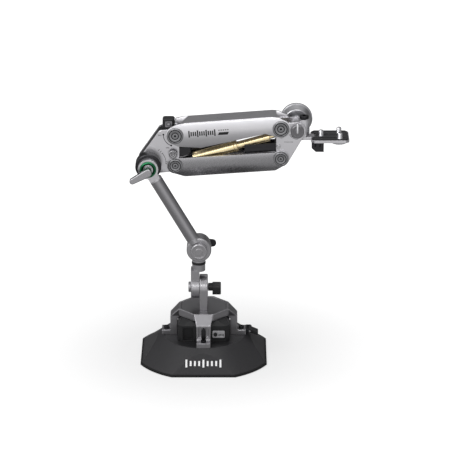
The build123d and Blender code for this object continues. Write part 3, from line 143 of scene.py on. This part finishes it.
def surface(finish, colour, rough, grain, stretch=(1, 1, 1), depth=0.012, wear_and_highlight=1.35, edge=0.35,
            crown=None, dirt=0.96, relief=0.25):
    """Colour mottling, fine grain, rounded edges lightened by scuffing and painted highlight, shared by the metals
    and plastics.

    grain, depth and edge are in millimetres; wear_and_highlight lightens the edges in scuffed patches, as rubbing
    and, where it is set high, as painted highlight; dirt darkens patches.
    """
    mottle = finish.noise(26 * MM)
    fine = finish.noise(grain * MM, stretch)
    rounded, edge_band = finish.edges(edge * MM)
    scuffs = finish.noise(3.5 * MM, detail=4.0)
    base = finish.mix(finish.spread(mottle, 0.0, 1.0), tone(colour, dirt), tone(colour, 1.02))
    base = finish.mix(finish.spread(fine, 0.0, 0.3), base, tone(colour, 1.08))
    # Painted highlight with scuffing: edges lighten in scuffed patches towards a brighter copy of the colour.
    lit_and_scuffed_edges = finish.math("MULTIPLY", edge_band, finish.spread(scuffs, 0.25, 1.0))
    base = finish.mix(lit_and_scuffed_edges, base, tone(colour, wear_and_highlight))
    roughness = finish.math("ADD", finish.spread(scuffs, rough - 0.015, rough + 0.015),
                            finish.spread(fine, -0.02, 0.02))
    normal = rounded
    if crown is not None:
        normal = finish.bump(crown, 1.0, normal)
    normal = finish.bump(fine, depth * MM, normal, strength=relief)
    return finish.wire(base, roughness, normal)


def blasted(name, colour, rough=0.36, crown=None, wear_and_highlight=1.35, edge=0.35):
    """Bead-blasted, anodised aluminium."""
    finish = Finish(name, metallic=1.0)
    height = crown(finish) if crown else None
    relief = 0.1 if crown else 0.25
    return surface(finish, colour, rough, 0.35, depth=0.008, wear_and_highlight=wear_and_highlight, edge=edge, crown=height,
                   relief=relief)


def brushed(name, colour, rough=0.28, stretch=(1, 1, 30)):
    """Metal with fine lines along one axis."""
    return surface(Finish(name, metallic=1.0), colour, rough, 0.25, stretch, depth=0.012)


def moulded(name, colour, rough=0.5, grain=0.4, depth=0.03, coat=0.0, wear_and_highlight=1.6):
    """Moulded plastic or rubber with a fine texture."""
    return surface(Finish(name, coat=coat, specular=0.32), colour, rough, grain, depth=depth,
                   wear_and_highlight=wear_and_highlight, edge=0.5)


def turned(name, colour, rough=0.3, contrast=0.35):
    """Metal turned about the piece's own Z axis, with concentric tool marks."""
    finish = Finish(name, metallic=1.0)
    rings = finish.rings(0.55 * MM)
    rounded, edge_band = finish.edges(0.25 * MM)
    mottle = finish.noise(9 * MM, detail=4.0)
    base = finish.mix(finish.spread(rings, 0.0, 1.0), tone(colour, 1 - contrast),
                      tone(colour, 1 + contrast))
    base = finish.mix(finish.spread(mottle, 0.0, 0.3), base, tone(colour, 0.8))
    # Painted highlight: all edges are lightened to nearly twice the colour.
    base = finish.mix(finish.math("MULTIPLY", edge_band, 0.7), base, tone(colour, 1.9))
    roughness = finish.spread(rings, rough - 0.06, rough + 0.08)
    return finish.wire(base, roughness, finish.bump(rings, 0.05 * MM, rounded))


def link_crown(pivot_name, middle, radius):
    """Height of a wall that is gently rounded across the link, about a line along it."""
    start = PIVOT[pivot_name]
    far = PIVOT["level_hinge"] - PIVOT["link_swing"]
    across = Vector((-far.z, 0, far.x)).normalized()

    def height(finish):
        dot = finish.node("ShaderNodeVectorMath", {0: finish.place, 1: tuple(across)},
                          operation="DOT_PRODUCT").outputs["Value"]
        offset = finish.math("SUBTRACT", dot, start.dot(across) + middle)
        return finish.math("MULTIPLY", finish.math("MULTIPLY", offset, offset), -0.5 / radius)

    return height


def gold(name):
    """Gold anodised tube with fine lines along the damper and its edges a little lighter."""
    finish = Finish(name, metallic=1.0)
    return surface(finish, (1.0, 0.82, 0.50), 0.28, 0.3, (30, 1, 8), depth=0.003, wear_and_highlight=1.1,
                   dirt=0.99)


SLOT_FINISH = {
    "rubber": moulded("rubber", (0.016, 0.016, 0.017), 0.62, 0.5, 0.05, wear_and_highlight=1.8),
    "shell_plastic": moulded("shell_plastic", (0.021, 0.0205, 0.0225), 0.44, 0.45, 0.03, wear_and_highlight=1.7),
    "black_plastic": moulded("black_plastic", (0.014, 0.014, 0.015), 0.38, 0.4, 0.03, wear_and_highlight=2.0),
    "battery_wrap": moulded("battery_wrap", (0.05, 0.12, 0.2), 0.3, 2.0, 0.02, coat=0.4),
    "board": moulded("board", (0.02, 0.12, 0.06), 0.4, 0.8, 0.02, coat=0.3),
    "steel": brushed("steel", (0.50, 0.50, 0.51), 0.28),
    "polished_steel": brushed("polished_steel", (0.66, 0.66, 0.68), 0.22, (30, 1, 1)),
    "black_steel": brushed("black_steel", (0.035, 0.035, 0.038), 0.32),
    "black_metal": blasted("black_metal", (0.045, 0.0445, 0.0475), 0.36, wear_and_highlight=2.2),
    "silver_aluminium": blasted("silver_aluminium", (0.64, 0.632, 0.655), 0.32),
    "light_aluminium": blasted("light_aluminium", (0.60, 0.595, 0.615)),
    # Painted highlight: wide edges, strongly lightened.
    "grey_aluminium": blasted("grey_aluminium", (0.40, 0.394, 0.408), 0.32, wear_and_highlight=1.9, edge=0.8),
    "dark_aluminium": blasted("dark_aluminium", (0.24, 0.237, 0.247), 0.36, wear_and_highlight=1.9),
    "cap_grey": blasted("cap_grey", (0.30, 0.30, 0.31), 0.3, wear_and_highlight=1.9),
    "bright_aluminium": brushed("bright_aluminium", (0.50, 0.50, 0.515), 0.32, (1, 30, 1)),
    "green_anodised": blasted("green_anodised", (0.03, 0.20, 0.09), 0.28),
    "gold_anodised": gold("gold_anodised"),
}


def print_ink(name, colour):
    """Screen-printed ink: slightly uneven, with a little relief."""
    return moulded(name, colour, 0.45, 0.6, 0.01, wear_and_highlight=1.2)


INK_BLACK = print_ink("ink_black", (0.012, 0.012, 0.013))
INK_WHITE = print_ink("ink_white", (0.86, 0.86, 0.86))
CAP_METAL = turned("cap_metal", (0.28, 0.28, 0.29))
# Painted shade: near-black turned metal for the caps' side walls, grooves and dimples.
GROOVE_SHADE_METAL = turned("groove_shade_metal", (0.03, 0.03, 0.032), 0.4)
MID_CAP_METAL = turned("mid_cap_metal", (0.45, 0.445, 0.46))
STUD_METAL = brushed("stud_metal", (0.82, 0.82, 0.84), 0.16, (1, 1, 1))
SKIRT_RUBBER = moulded("skirt_rubber", (0.004, 0.004, 0.0045), 0.7, 0.5, 0.03)
PAD_RUBBER = moulded("pad_rubber", (0.05, 0.05, 0.052), 0.45, 0.5, 0.03)
RING_GREEN = turned("ring_green", (0.03, 0.20, 0.085), 0.24, 0.25)
NODE_METAL = {
    "upper_link": blasted("upper_link_metal", (0.74, 0.732, 0.755), 0.3,
                          link_crown("link_swing", 2 * MM, 34 * MM)),
    # Painted shade: the lower link is a darker copy of the upper link's metal.
    "lower_link": blasted("lower_link_shaded_metal", (0.58, 0.573, 0.593), 0.28,
                          link_crown("lower_link_swing", 8 * MM, 26 * MM)),
    "shoulder_head": blasted("shoulder_metal", (0.42, 0.415, 0.43), 0.34, wear_and_highlight=1.5),
    "elbow_lever": blasted("lever_metal", (0.42, 0.415, 0.43), 0.24, wear_and_highlight=1.6),
    # Painted highlight: wide edges, strongly lightened, for the bright upper edge of the band.
    "crown_frame": blasted("crown_metal", (0.32, 0.315, 0.328), 0.32, wear_and_highlight=2.3, edge=1.5),
    "tilt_paddle": blasted("paddle_metal", (0.42, 0.415, 0.43), 0.34),
    "shoulder_yoke": blasted("yoke_metal", (0.5, 0.494, 0.512), 0.34),
    "elbow_bolt": brushed("elbow_bolt_metal", (0.17, 0.17, 0.175), 0.3),
    "tilt_pin": blasted("tilt_pin_metal", (0.19, 0.187, 0.195), 0.3, wear_and_highlight=1.9),
    "arm_tube": brushed("tube_metal", (0.34, 0.335, 0.348), 0.3, (1, 1, 1)),
}


def paint_nodes():
    for subpart in frame["record"]["subparts"]:
        node = NODES[subpart["node"]]
        finish = NODE_METAL.get(subpart["node"], SLOT_FINISH[subpart["material_slot"]])
        node.data.materials.clear()
        node.data.materials.append(finish)


# ---------------------------------------------------------------- mesh building
def add_object(name, mesh, material, body, at=None):
    piece = bpy.data.objects.new(name, mesh)
    if at is not None:
        piece.matrix_world = at
    mesh.materials.append(material)
    bpy.context.scene.collection.objects.link(piece)
    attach(piece, body)
    return piece


def facing(origin, axis):
    """Placement with its origin at a point and its own Z along an axis."""
    return Matrix.Translation(origin) @ UP.rotation_difference(axis).to_matrix().to_4x4()


def smooth_by_angle(mesh, degrees):
    mesh.polygons.foreach_set("use_smooth", [True] * len(mesh.polygons))
    mesh.set_sharp_from_angle(angle=math.radians(degrees))


def close_mesh(name, shape, degrees=None):
    """Mesh from a bmesh, with outward faces; degrees smooths the edges flatter than that."""
    mesh = bpy.data.meshes.new(name)
    bmesh.ops.recalc_face_normals(shape, faces=shape.faces)
    shape.to_mesh(mesh)
    shape.free()
    if degrees is not None:
        smooth_by_angle(mesh, degrees)
    return mesh


def loft_mesh(name, rows, degrees=None):
    """Capped solid through closed rows of points that all have the same count."""
    shape = bmesh.new()
    rings = [[shape.verts.new(point) for point in row] for row in rows]
    count = len(rows[0])
    for lower, upper in zip(rings, rings[1:]):
        for i in range(count):
            j = (i + 1) % count
            shape.faces.new((lower[i], lower[j], upper[j], upper[i]))
    shape.faces.new(list(reversed(rings[0])))
    shape.faces.new(rings[-1])
    return close_mesh(name, shape, degrees)


def lathe_mesh(name, profile, segments=96, wobble=None, dark=()):
    """Closed solid of revolution about Z; profile is (radius, height) from axis to axis.

    The bands of the profile that dark lists take the mesh's second material.
    """
    shape = bmesh.new()
    rows = []
    for radius, height in profile:
        if radius == 0.0:
            rows.append([shape.verts.new((0, 0, height))])
            continue
        row = []
        for step in range(segments):
            angle = 2 * math.pi * step / segments
            reach = radius + (wobble(radius, height, step) if wobble else 0.0)
            row.append(shape.verts.new((reach * math.cos(angle), reach * math.sin(angle), height)))
        rows.append(row)
    for band, (low, high) in enumerate(zip(rows, rows[1:])):
        for step in range(segments):
            ahead = (step + 1) % segments
            corners = [low[step % len(low)], low[ahead % len(low)],
                       high[ahead % len(high)], high[step % len(high)]]
            unique = list(dict.fromkeys(corners))
            if len(unique) > 2:
                face = shape.faces.new(unique)
                face.material_index = 1 if band in dark else 0
    return close_mesh(name, shape, 35.0)


def prisms_mesh(name, outlines, thickness):
    """Thin flat prisms standing on the XY plane, one for each closed outline."""
    shape = bmesh.new()
    for outline in outlines:
        low = [shape.verts.new((x, y, 0)) for x, y in outline]
        high = [shape.verts.new((x, y, thickness)) for x, y in outline]
        shape.faces.new(low)
        shape.faces.new(high)
        for i in range(len(outline)):
            j = (i + 1) % len(outline)
            shape.faces.new((low[i], low[j], high[j], high[i]))
    return close_mesh(name, shape)


def disc_outline(centre, radius, steps=24):
    angles = [2 * math.pi * i / steps for i in range(steps)]
    return [(centre[0] + radius * math.cos(a), centre[1] + radius * math.sin(a)) for a in angles]


def bar_outline(x, y, width, height, lean=0.0):
    """Upright bar about a centre, its top pushed sideways by lean."""
    w, h = width / 2, height / 2
    return [(x - w - lean, y - h), (x + w - lean, y - h), (x + w + lean, y + h), (x - w + lean, y + h)]


def arc_outline(centre, radius, width, start, end, steps=28):
    """Band of a circle between two angles in degrees."""
    angles = [math.radians(start + (end - start) * i / steps) for i in range(steps + 1)]
    outer, inner = radius + width / 2, radius - width / 2
    points = [(centre[0] + outer * math.cos(a), centre[1] + outer * math.sin(a)) for a in angles]
    return points + [
        (centre[0] + inner * math.cos(a), centre[1] + inner * math.sin(a)) for a in reversed(angles)
    ]


def tick_outline(centre, radius, length, width, degrees):
    """Short radial dash at an angle."""
    a = math.radians(degrees)
    ray, side = Vector((math.cos(a), math.sin(a))), Vector((-math.sin(a), math.cos(a)))
    middle = Vector(centre) + ray * radius
    corners = [(-1, -1), (1, -1), (1, 1), (-1, 1)]
    return [tuple(middle + ray * i * length / 2 + side * j * width / 2) for i, j in corners]


def front_frame(y, turn=0.0):
    """Placement on a front face at depth y: own X along the part's X, own Y up."""
    placed = Matrix.Translation((0, y, 0)) @ Matrix.Rotation(math.radians(90), 4, "X")
    return placed @ Matrix.Rotation(turn, 4, "Z")


# ---------------------------------------------------------------- pivot caps
CAP_SHADE_BANDS = (2, 8, 9, 10, 13, 14, 15, 18, 19)  # painted shade: near-black bands of the cap's profile, on its side wall, grooves and dimple


def cap_profile(radius, height):
    """Turned cap: rounded rim, two ring grooves and a centre dimple."""
    step = 0.05 * radius
    return [
        (0.0, 0.0), (radius - step / 2, 0.0), (radius, step / 2), (radius, height - 2.2 * step),
        (radius - 0.5 * step, height - 1.0 * step), (radius - 1.4 * step, height - 0.3 * step),
        (radius - 2.2 * step, height), (0.82 * radius, height), (0.80 * radius, height - 0.3 * step),
        (0.79 * radius, height - 2.0 * step), (0.70 * radius, height - 2.0 * step),
        (0.69 * radius, height - 0.4 * step), (0.48 * radius, height - 0.6 * step),
        (0.46 * radius, height - 0.8 * step), (0.455 * radius, height - 2.2 * step),
        (0.36 * radius, height - 2.2 * step), (0.355 * radius, height - 0.7 * step),
        (0.16 * radius, height - 0.5 * step), (0.13 * radius, height - 0.9 * step),
        (0.11 * radius, height - 2.8 * step), (0.0, height - 2.9 * step),
    ]


def pivot_cap(name, node, centre, radius, body, material):
    """A front and a back cap on one pivot, in the depth that the node's own caps take."""
    low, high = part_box(node)
    thick = 2.3 * MM
    for side, y, axis in (("front", low.y, FRONT), ("back", high.y, BACK)):
        profile = cap_profile(radius, thick)
        mesh = lathe_mesh(f"{name}_{side}", profile, dark=CAP_SHADE_BANDS)
        seat = Vector((centre.x, y, centre.z)) - axis * thick
        cap = add_object(f"{name}_{side}", mesh, material, body, facing(seat, axis))
        # Painted shade: the side wall, grooves and dimple take the near-black second material.
        mesh.materials.append(GROOVE_SHADE_METAL)
        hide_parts(node)


def build_pivot_caps():
    link = PIVOT["level_hinge"] - PIVOT["link_swing"]
    low_right = PIVOT["lower_link_swing"] + link
    places = (
        ("cap_top_left", "left_pivot_caps", PIVOT["link_swing"], 10.0, "left_knuckle", CAP_METAL),
        ("cap_low_left", "left_pivot_caps", PIVOT["lower_link_swing"], 8.6, "left_knuckle", CAP_METAL),
        ("cap_mid_left", "left_pivot_caps", PIVOT["centre_bar_swing"], 5.4, "left_knuckle",
         MID_CAP_METAL),
        ("cap_top_right", "right_pivot_caps", PIVOT["level_hinge"], 10.0, "right_knuckle", CAP_METAL),
        ("cap_low_right", "right_pivot_caps", low_right, 8.6, "right_knuckle", CAP_METAL),
    )
    for name, node, centre, radius, body, material in places:
        pivot_cap(name, node, centre, radius * MM, body, material)


# ---------------------------------------------------------------- elbow ring
def build_elbow_ring():
    """Green ring that funnels in towards the bolt, with a finely notched rim."""
    low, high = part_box("elbow_ring")
    outer = (high.x - low.x) / 2
    deep = high.y - low.y
    centre = Vector(((low.x + high.x) / 2, high.y, (low.z + high.z) / 2))
    profile = [
        (0.60 * outer, 0.0), (outer, 0.0), (outer, 0.55 * deep), (0.97 * outer, 0.8 * deep),
        (0.90 * outer, deep), (0.86 * outer, deep), (0.80 * outer, 0.86 * deep),
        (0.66 * outer, 0.3 * deep), (0.60 * outer, 0.1 * deep), (0.60 * outer, 0.0),
    ]

    def notch(radius, height, step):
        return -0.018 * outer if radius > 0.85 * outer and height > 0.5 * deep and step % 4 < 2 else 0

    mesh = lathe_mesh("elbow_ring_notched", profile, 144, notch)
    ring = add_object("elbow_ring_notched", mesh, RING_GREEN, "arm",
                      facing(centre, FRONT))
    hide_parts("elbow_ring")


# ---------------------------------------------------------------- threaded studs
def thread_mesh(name, radius, root, low, high, pitch, segments=40):
    """Round root, then a threaded shank that runs out in a rounded tip."""
    steps = int((high - low - 1.0 * MM) / pitch * 8)
    profile = [(root, 0.0), (root, low)]
    profile += [(None, low + 0.1 * MM + i * pitch / 8) for i in range(steps)]
    profile += [(radius * 0.86, high - 0.35 * MM), (radius * 0.74, high)]
    rows = []
    for reach, height in profile:
        row = []
        for step in range(segments):
            turn = step / segments
            wave = abs(((height / pitch - turn) % 1.0) * 2 - 1)
            r = radius * (0.84 + 0.16 * wave) if reach is None else reach
            angle = 2 * math.pi * turn
            row.append((r * math.cos(angle), r * math.sin(angle), height))
        rows.append(row)
    return loft_mesh(name, rows, 40.0)


def build_studs():
    low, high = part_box("camera_studs")
    pad_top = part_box("rubber_pad")[1].z
    for mount in frame["record"]["mounts"]:
        if not mount["name"].startswith("camera_stud"):
            continue
        radius = mount["dims"]["r_mm"] * MM
        x, y, _ = mount["pos_m"]
        mesh = thread_mesh(mount["name"], radius, radius + 0.6 * MM, pad_top - low.z,
                           high.z - low.z, 1.27 * MM)
        stud = add_object(mount["name"], mesh, STUD_METAL, "plate",
                          Matrix.Translation((x, y, low.z)))
        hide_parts("camera_studs")


# ---------------------------------------------------------------- tilt rib
def build_tilt_rib():
    """Upright rib with rounded ends on the front of the head's tilt pin."""
    centre = PIVOT["head_tilt"]
    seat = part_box("tilt_pin")[0].y + 0.3 * MM
    half, length, rise = 1.45 * MM, 12.4 * MM, 1.9 * MM
    rows = []
    for inset, height in ((0.0, 0.0), (0.0, 0.45), (0.10, 0.75), (0.30, 0.93), (0.55, 1.0)):
        row = []
        r = half * (1 - inset)
        for step in range(40):
            a = 2 * math.pi * step / 40
            stretch = length / 2 - half if math.sin(a) >= 0 else half - length / 2
            row.append((r * math.cos(a), r * math.sin(a) + stretch, rise * height))
        rows.append(row)
    mesh = loft_mesh("tilt_rib", rows, 50.0)
    at = front_frame(seat) @ Matrix.Translation((centre.x, centre.z + 4.5 * MM, 0))
    add_object("tilt_rib", mesh, STUD_METAL, "head", at)


# ---------------------------------------------------------------- foot skirt
def build_foot_skirt():
    """Thin rubber skirt that follows the shell's lower edge."""
    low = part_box("base_shell")[0]
    rim = [v.co for v in NODES["base_shell"].data.vertices if v.co.z < low.z + 0.2 * MM]
    points = [(co.x, co.y) for co in rim]
    hull = [Vector(points[i]) for i in convex_hull_2d(points)]
    top = low.z / MM
    rows = []
    for spread, height in ((1.2, 0.1), (2.2, 0.7), (2.1, top - 0.5), (1.4, top), (-1.5, top)):
        ring = [p * (1 + spread * MM / p.length) for p in hull]
        rows.append([(p.x, p.y, height * MM) for p in ring])
    mesh = loft_mesh("foot_skirt", rows)
    add_object("foot_skirt", mesh, SKIRT_RUBBER, "base")


# ---------------------------------------------------------------- leg slot shade, painted
def build_leg_slot_shades():
    """Painted shade: near-black sheets with pointed tops on the four legs of the crown frame, where their slots
    show.
    """
    reach = 41.5 * MM
    foot, shoulder, tip, half = 35.6 * MM, 46.5 * MM, 50.6 * MM, 2.7 * MM
    outline = [(-half, foot), (half, foot), (half, shoulder), (0.8 * MM, tip), (-0.8 * MM, tip),
               (-half, shoulder)]
    for turn in range(4):
        mesh = prisms_mesh(f"leg_slot_shade_{turn}", [outline], 0.5 * MM)
        at = Matrix.Rotation(math.radians(90 * turn), 4, "Z") @ front_frame(-reach + 0.35 * MM)
        # Painted shade: each sheet is a near-black plate lying on the leg's front face.
        add_object(f"leg_slot_shade_{turn}", mesh, SLOT_FINISH["black_metal"], "base", at)


# ---------------------------------------------------------------- knob faces
def rounded_outline(half_x, half_y, radius, steps=6):
    """Rectangle about the origin with rounded corners."""
    points = []
    for quarter, (i, j) in enumerate(((1, 1), (-1, 1), (-1, -1), (1, -1))):
        for step in range(steps + 1):
            a = math.radians(90 * (quarter + step / steps))
            points.append((i * (half_x - radius) + radius * math.cos(a),
                           j * (half_y - radius) + radius * math.sin(a)))
    return points


def build_knob_faces():
    """Stepped square frames on the four sides of the tension knob."""
    low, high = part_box("tension_knob")
    side = (high.x - low.x) / 2
    middle = Vector(((low.x + high.x) / 2, (low.y + high.y) / 2, high.z - 6.5 * MM))
    steps = (("ring", 4.2, 3.7, 1.1, -0.85, 0.6, "dark_aluminium"),
             ("centre", 1.5, 1.3, 0.5, -0.02, 0.2, "grey_aluminium"))
    for turn in range(4):
        normal = Matrix.Rotation(math.radians(90 * turn), 3, "Z") @ FRONT
        across = UP.cross(normal)
        for part, wide, tall, corner, start, rise, slot in steps:
            name = f"knob_{part}_{turn}"
            mesh = prisms_mesh(name, [rounded_outline(wide * MM, tall * MM, corner * MM)], rise * MM)
            axes = Matrix((across, UP, normal)).transposed().to_4x4()
            at = Matrix.Translation(middle + normal * (side + start * MM)) @ axes
            add_object(name, mesh, SLOT_FINISH[slot], "tension", at)


def build_pad_ribs():
    """Long raised ribs moulded in the camera plate's rubber pad."""
    low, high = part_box("rubber_pad")
    middle = (low + high) / 2
    half = (high.x - low.x) / 2 - 3.0 * MM
    ribs = []
    for offset in (-7.5, -2.5, 2.5, 7.5):
        outline = rounded_outline(half, 0.7 * MM, 0.6 * MM)
        ribs.append([(x, y + offset * MM) for x, y in outline])
    mesh = prisms_mesh("pad_ribs", ribs, 0.5 * MM)
    at = Matrix.Translation((middle.x, middle.y, high.z - 0.02 * MM))
    add_object("pad_ribs", mesh, PAD_RUBBER, "plate", at)


# ---------------------------------------------------------------- printed marks
INK = 0.08 * MM


def build_base_marks():
    """Row of white bars across the front facet of the base."""
    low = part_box("base_shell")[0]
    lean = math.radians(41.7)
    facet = Vector((0, low.y, low.z))
    slope = Vector((0, math.sin(lean), math.cos(lean)))
    normal = Vector((0, -math.cos(lean), math.sin(lean)))
    middle = facet + slope * 14.5 * MM + normal * 0.01 * MM
    at = Matrix.Translation(middle) @ Matrix((Vector((1, 0, 0)), slope, normal)).transposed().to_4x4()
    bars = []
    count = 9
    for i in range(count):
        x = (i - (count - 1) / 2) * 5.2 * MM
        tall = (10.0 if i % 4 == 0 else 6.5) * MM
        bars.append(bar_outline(x, 0, 2.3 * MM, tall))
    mesh = prisms_mesh("base_marks", bars, INK)
    add_object("base_marks", mesh, INK_WHITE, "base", at)


def build_link_scale():
    """Black scale printed along the upper link's front face."""
    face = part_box("upper_link")[0].y
    start = PIVOT["link_swing"]
    link = PIVOT["level_hinge"] - start
    turn = math.atan2(link.z, link.x)
    at = front_frame(face - 0.01 * MM) @ Matrix.Translation((start.x, start.z, 0))
    at = at @ Matrix.Rotation(turn, 4, "Z")
    marks = []
    for i in range(13):
        tall = (8.4 if i % 4 == 0 else 5.4) * MM
        marks.append(bar_outline((17 + 2.6 * i) * MM, 0.8 * MM, 1.6 * MM, tall))
    marks.append(bar_outline(58.5 * MM, -1.0 * MM, 12.0 * MM, 3.4 * MM, 0.9 * MM))
    for i in range(5):
        marks.append(bar_outline((53.4 + 2.7 * i) * MM, 3.4 * MM, 1.5 * MM, 1.2 * MM))
    mesh = prisms_mesh("link_scale", marks, INK)
    add_object("link_scale", mesh, INK_BLACK, "upper", at)


def build_knuckle_marks():
    """Travel arcs and dashes on the front plates of both knuckles."""
    top, elbow = PIVOT["link_swing"], PIVOT["elbow_bend"]
    centre = (top.x, top.z)
    arc = [arc_outline(centre, 14.2 * MM, 0.75 * MM, 178, 250)]
    ends = [math.radians(178), math.radians(250)]
    arc += [disc_outline((centre[0] + 14.2 * MM * math.cos(a), centre[1] + 14.2 * MM * math.sin(a)),
                         1.1 * MM) for a in ends]
    arc += [bar_outline(centre[0] - (20.2 - 1.5 * i) * MM, centre[1] - 0.3 * MM, 0.6 * MM, 1.6 * MM)
            for i in range(3)]
    arc += [bar_outline(centre[0] - (10.8 - 1.5 * i) * MM, centre[1] - 16.2 * MM, 0.6 * MM, 1.6 * MM)
            for i in range(3)]
    joint = (elbow.x, elbow.z)
    arc.append(arc_outline(joint, 21.5 * MM, 0.5 * MM, 6, 38))
    arc += [tick_outline(joint, 21.5 * MM, 2.4 * MM, 0.6 * MM, a) for a in (0, 6, 38, 46, 54)]
    at = front_frame(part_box("left_plates")[0].y - 0.01 * MM)
    mesh = prisms_mesh("left_knuckle_marks", arc, INK)
    add_object("left_knuckle_marks", mesh, INK_BLACK, "left_knuckle", at)

    tilt = PIVOT["head_tilt"]
    centre = (tilt.x, tilt.z)
    arcs = [arc_outline(centre, radius * MM, 0.45 * MM, 205, 275) for radius in (9.5, 9.5 + 1.1)]
    arcs += [bar_outline(centre[0] - (15.2 - 1.6 * i) * MM, centre[1] - 14.2 * MM, 0.9 * MM, 0.8 * MM)
             for i in range(7)]
    at = front_frame(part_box("right_plates")[0].y - 0.01 * MM)
    mesh = prisms_mesh("right_knuckle_marks", arcs, INK)
    add_object("right_knuckle_marks", mesh, INK_BLACK, "right_knuckle", at)


# ---------------------------------------------------------------- studio
CAMERA_PLACE = (0.0325, -2.7585, 1.1892)
CAMERA_PITCH = 69.6
CAMERA_LENS = 187.8


def build_camera():
    camera = bpy.data.objects.new("camera", bpy.data.cameras.new("camera"))
    camera.data.lens = CAMERA_LENS
    camera.data.sensor_width = 36.0
    camera.location = CAMERA_PLACE
    camera.rotation_euler = (math.radians(CAMERA_PITCH), 0, 0)
    bpy.context.scene.collection.objects.link(camera)
    bpy.context.scene.camera = camera


def soft_light(name, place, target, size, power):
    lamp = bpy.data.lights.new(name, "AREA")
    lamp.shape = "RECTANGLE"
    lamp.size, lamp.size_y = size
    lamp.energy = power
    light = bpy.data.objects.new(name, lamp)
    light.location = place
    light.rotation_euler = (Vector(target) - Vector(place)).to_track_quat("-Z", "Y").to_euler()
    bpy.context.scene.collection.objects.link(light)


def ramp(tree, value, steps):
    """Grey ramp through (position, level) steps."""
    made = add_node(tree, "ShaderNodeValToRGB", {"Fac": value})
    stops = made.color_ramp.elements
    while len(stops) < len(steps):
        stops.new(0.5)
    for stop, (place, level) in zip(stops, steps):
        stop.position = place
        stop.color = (level, level, level * 1.01, 1)
    return made.outputs["Color"]


def build_world():
    """White backdrop; the metals reflect a bright front, a dark wall behind and a light left wall."""
    world = bpy.data.worlds.new("studio")
    bpy.context.scene.world = world
    world.use_nodes = True
    tree = world.node_tree
    place = add_node(tree, "ShaderNodeTexCoord").outputs["Generated"]
    split = add_node(tree, "ShaderNodeSeparateXYZ", {0: place})
    front = ramp(tree, split.outputs["Z"], ((0.0, 1.0), (0.2, 0.95), (0.42, 0.5), (0.9, 0.7)))
    back = ramp(tree, split.outputs["Z"], ((0.0, 0.06), (0.34, 0.09), (0.56, 0.55), (0.9, 0.5)))
    turn = add_node(tree, "ShaderNodeMapRange", {"Value": split.outputs["Y"], "From Min": -0.25,
                                                 "From Max": 0.25}).outputs["Result"]
    room = add_node(tree, "ShaderNodeMix", {0: turn, 6: front, 7: back}, data_type="RGBA").outputs[2]
    reach = add_node(tree, "ShaderNodeMath", {0: split.outputs["X"]}, operation="ABSOLUTE").outputs[0]
    sides = add_node(tree, "ShaderNodeMapRange", {"Value": reach, "From Min": 0.5}).outputs["Result"]
    lean = add_node(tree, "ShaderNodeMapRange", {"Value": split.outputs["X"], "From Min": -1.0})
    walls = ramp(tree, lean.outputs["Result"], ((0.0, 0.8), (0.3, 0.7), (0.7, 0.2), (1.0, 0.3)))
    room = add_node(tree, "ShaderNodeMix", {0: sides, 6: room, 7: walls},
                    data_type="RGBA").outputs[2]
    seen = add_node(tree, "ShaderNodeLightPath").outputs["Is Camera Ray"]
    shown = add_node(tree, "ShaderNodeMix", {0: seen, 6: room, 7: (1, 1, 1, 1)}, data_type="RGBA")
    tree.links.new(shown.outputs[2], tree.nodes["Background"].inputs["Color"])


def build_floor():
    """Pale floor that glows, as painted light: white to the camera, a little dimmer near the foot, and a glow that
    the metals see fall off to grey near the foot.
    """
    finish = Finish("studio_floor")
    speck = finish.noise(0.4, detail=3.0)
    colour = finish.mix(finish.spread(speck, 0.0, 1.0), (0.29, 0.29, 0.29, 1), (0.31, 0.31, 0.31, 1))
    normal = finish.bump(finish.noise(0.01), 0.02 * MM)
    material = finish.wire(colour, finish.spread(speck, 0.7, 0.8), normal)
    split = finish.node("ShaderNodeSeparateXYZ", {0: finish.place})
    # Painted light: the glow that reflections see, strong far ahead of the arm and none near it.
    ahead = finish.spread(split.outputs["Y"], 0.5, 0.0, start=-1.1, end=-0.25)
    seen = finish.node("ShaderNodeLightPath").outputs["Is Camera Ray"]
    reach = finish.node("ShaderNodeVectorMath", {0: finish.place}, operation="LENGTH")
    # Painted light: the glow that the camera sees, lower near the foot so that shadows show.
    camera_glow = finish.spread(reach.outputs["Value"], 0.58, 0.95, start=0.1, end=0.4)
    glow = finish.node("ShaderNodeMix", {0: seen, 2: ahead, 3: camera_glow}).outputs[0]
    finish.shader.inputs["Emission Color"].default_value = (1, 1, 1, 1)
    finish.tree.links.new(glow, finish.shader.inputs["Emission Strength"])
    mesh = bpy.data.meshes.new("floor")
    far = 12.0
    corners = [(-far, -far, 0), (far, -far, 0), (far, far, 0), (-far, far, 0)]
    mesh.from_pydata(corners, [], [(0, 1, 2, 3)])
    mesh.materials.append(material)
    floor = bpy.data.objects.new("floor", mesh)
    bpy.context.scene.collection.objects.link(floor)


def build_studio():
    build_camera()
    build_world()
    build_floor()
    target = (0.03, 0.0, 0.16)
    soft_light("key", (-1.6, -0.9, 2.3), target, (1.6, 1.6), 26)
    soft_light("top", (0.3, 0.1, 2.6), target, (1.8, 1.0), 14)
    soft_light("strip", (0.1, -1.9, 1.3), target, (2.2, 0.35), 8)
    bpy.context.scene.view_settings.view_transform = "Standard"


# ---------------------------------------------------------------- everything
paint_nodes()
build_pivot_caps()
build_elbow_ring()
build_studs()
build_tilt_rib()
build_foot_skirt()
build_leg_slot_shades()
build_knob_faces()
build_pad_ribs()
build_base_marks()
build_link_scale()
build_knuckle_marks()
build_studio()
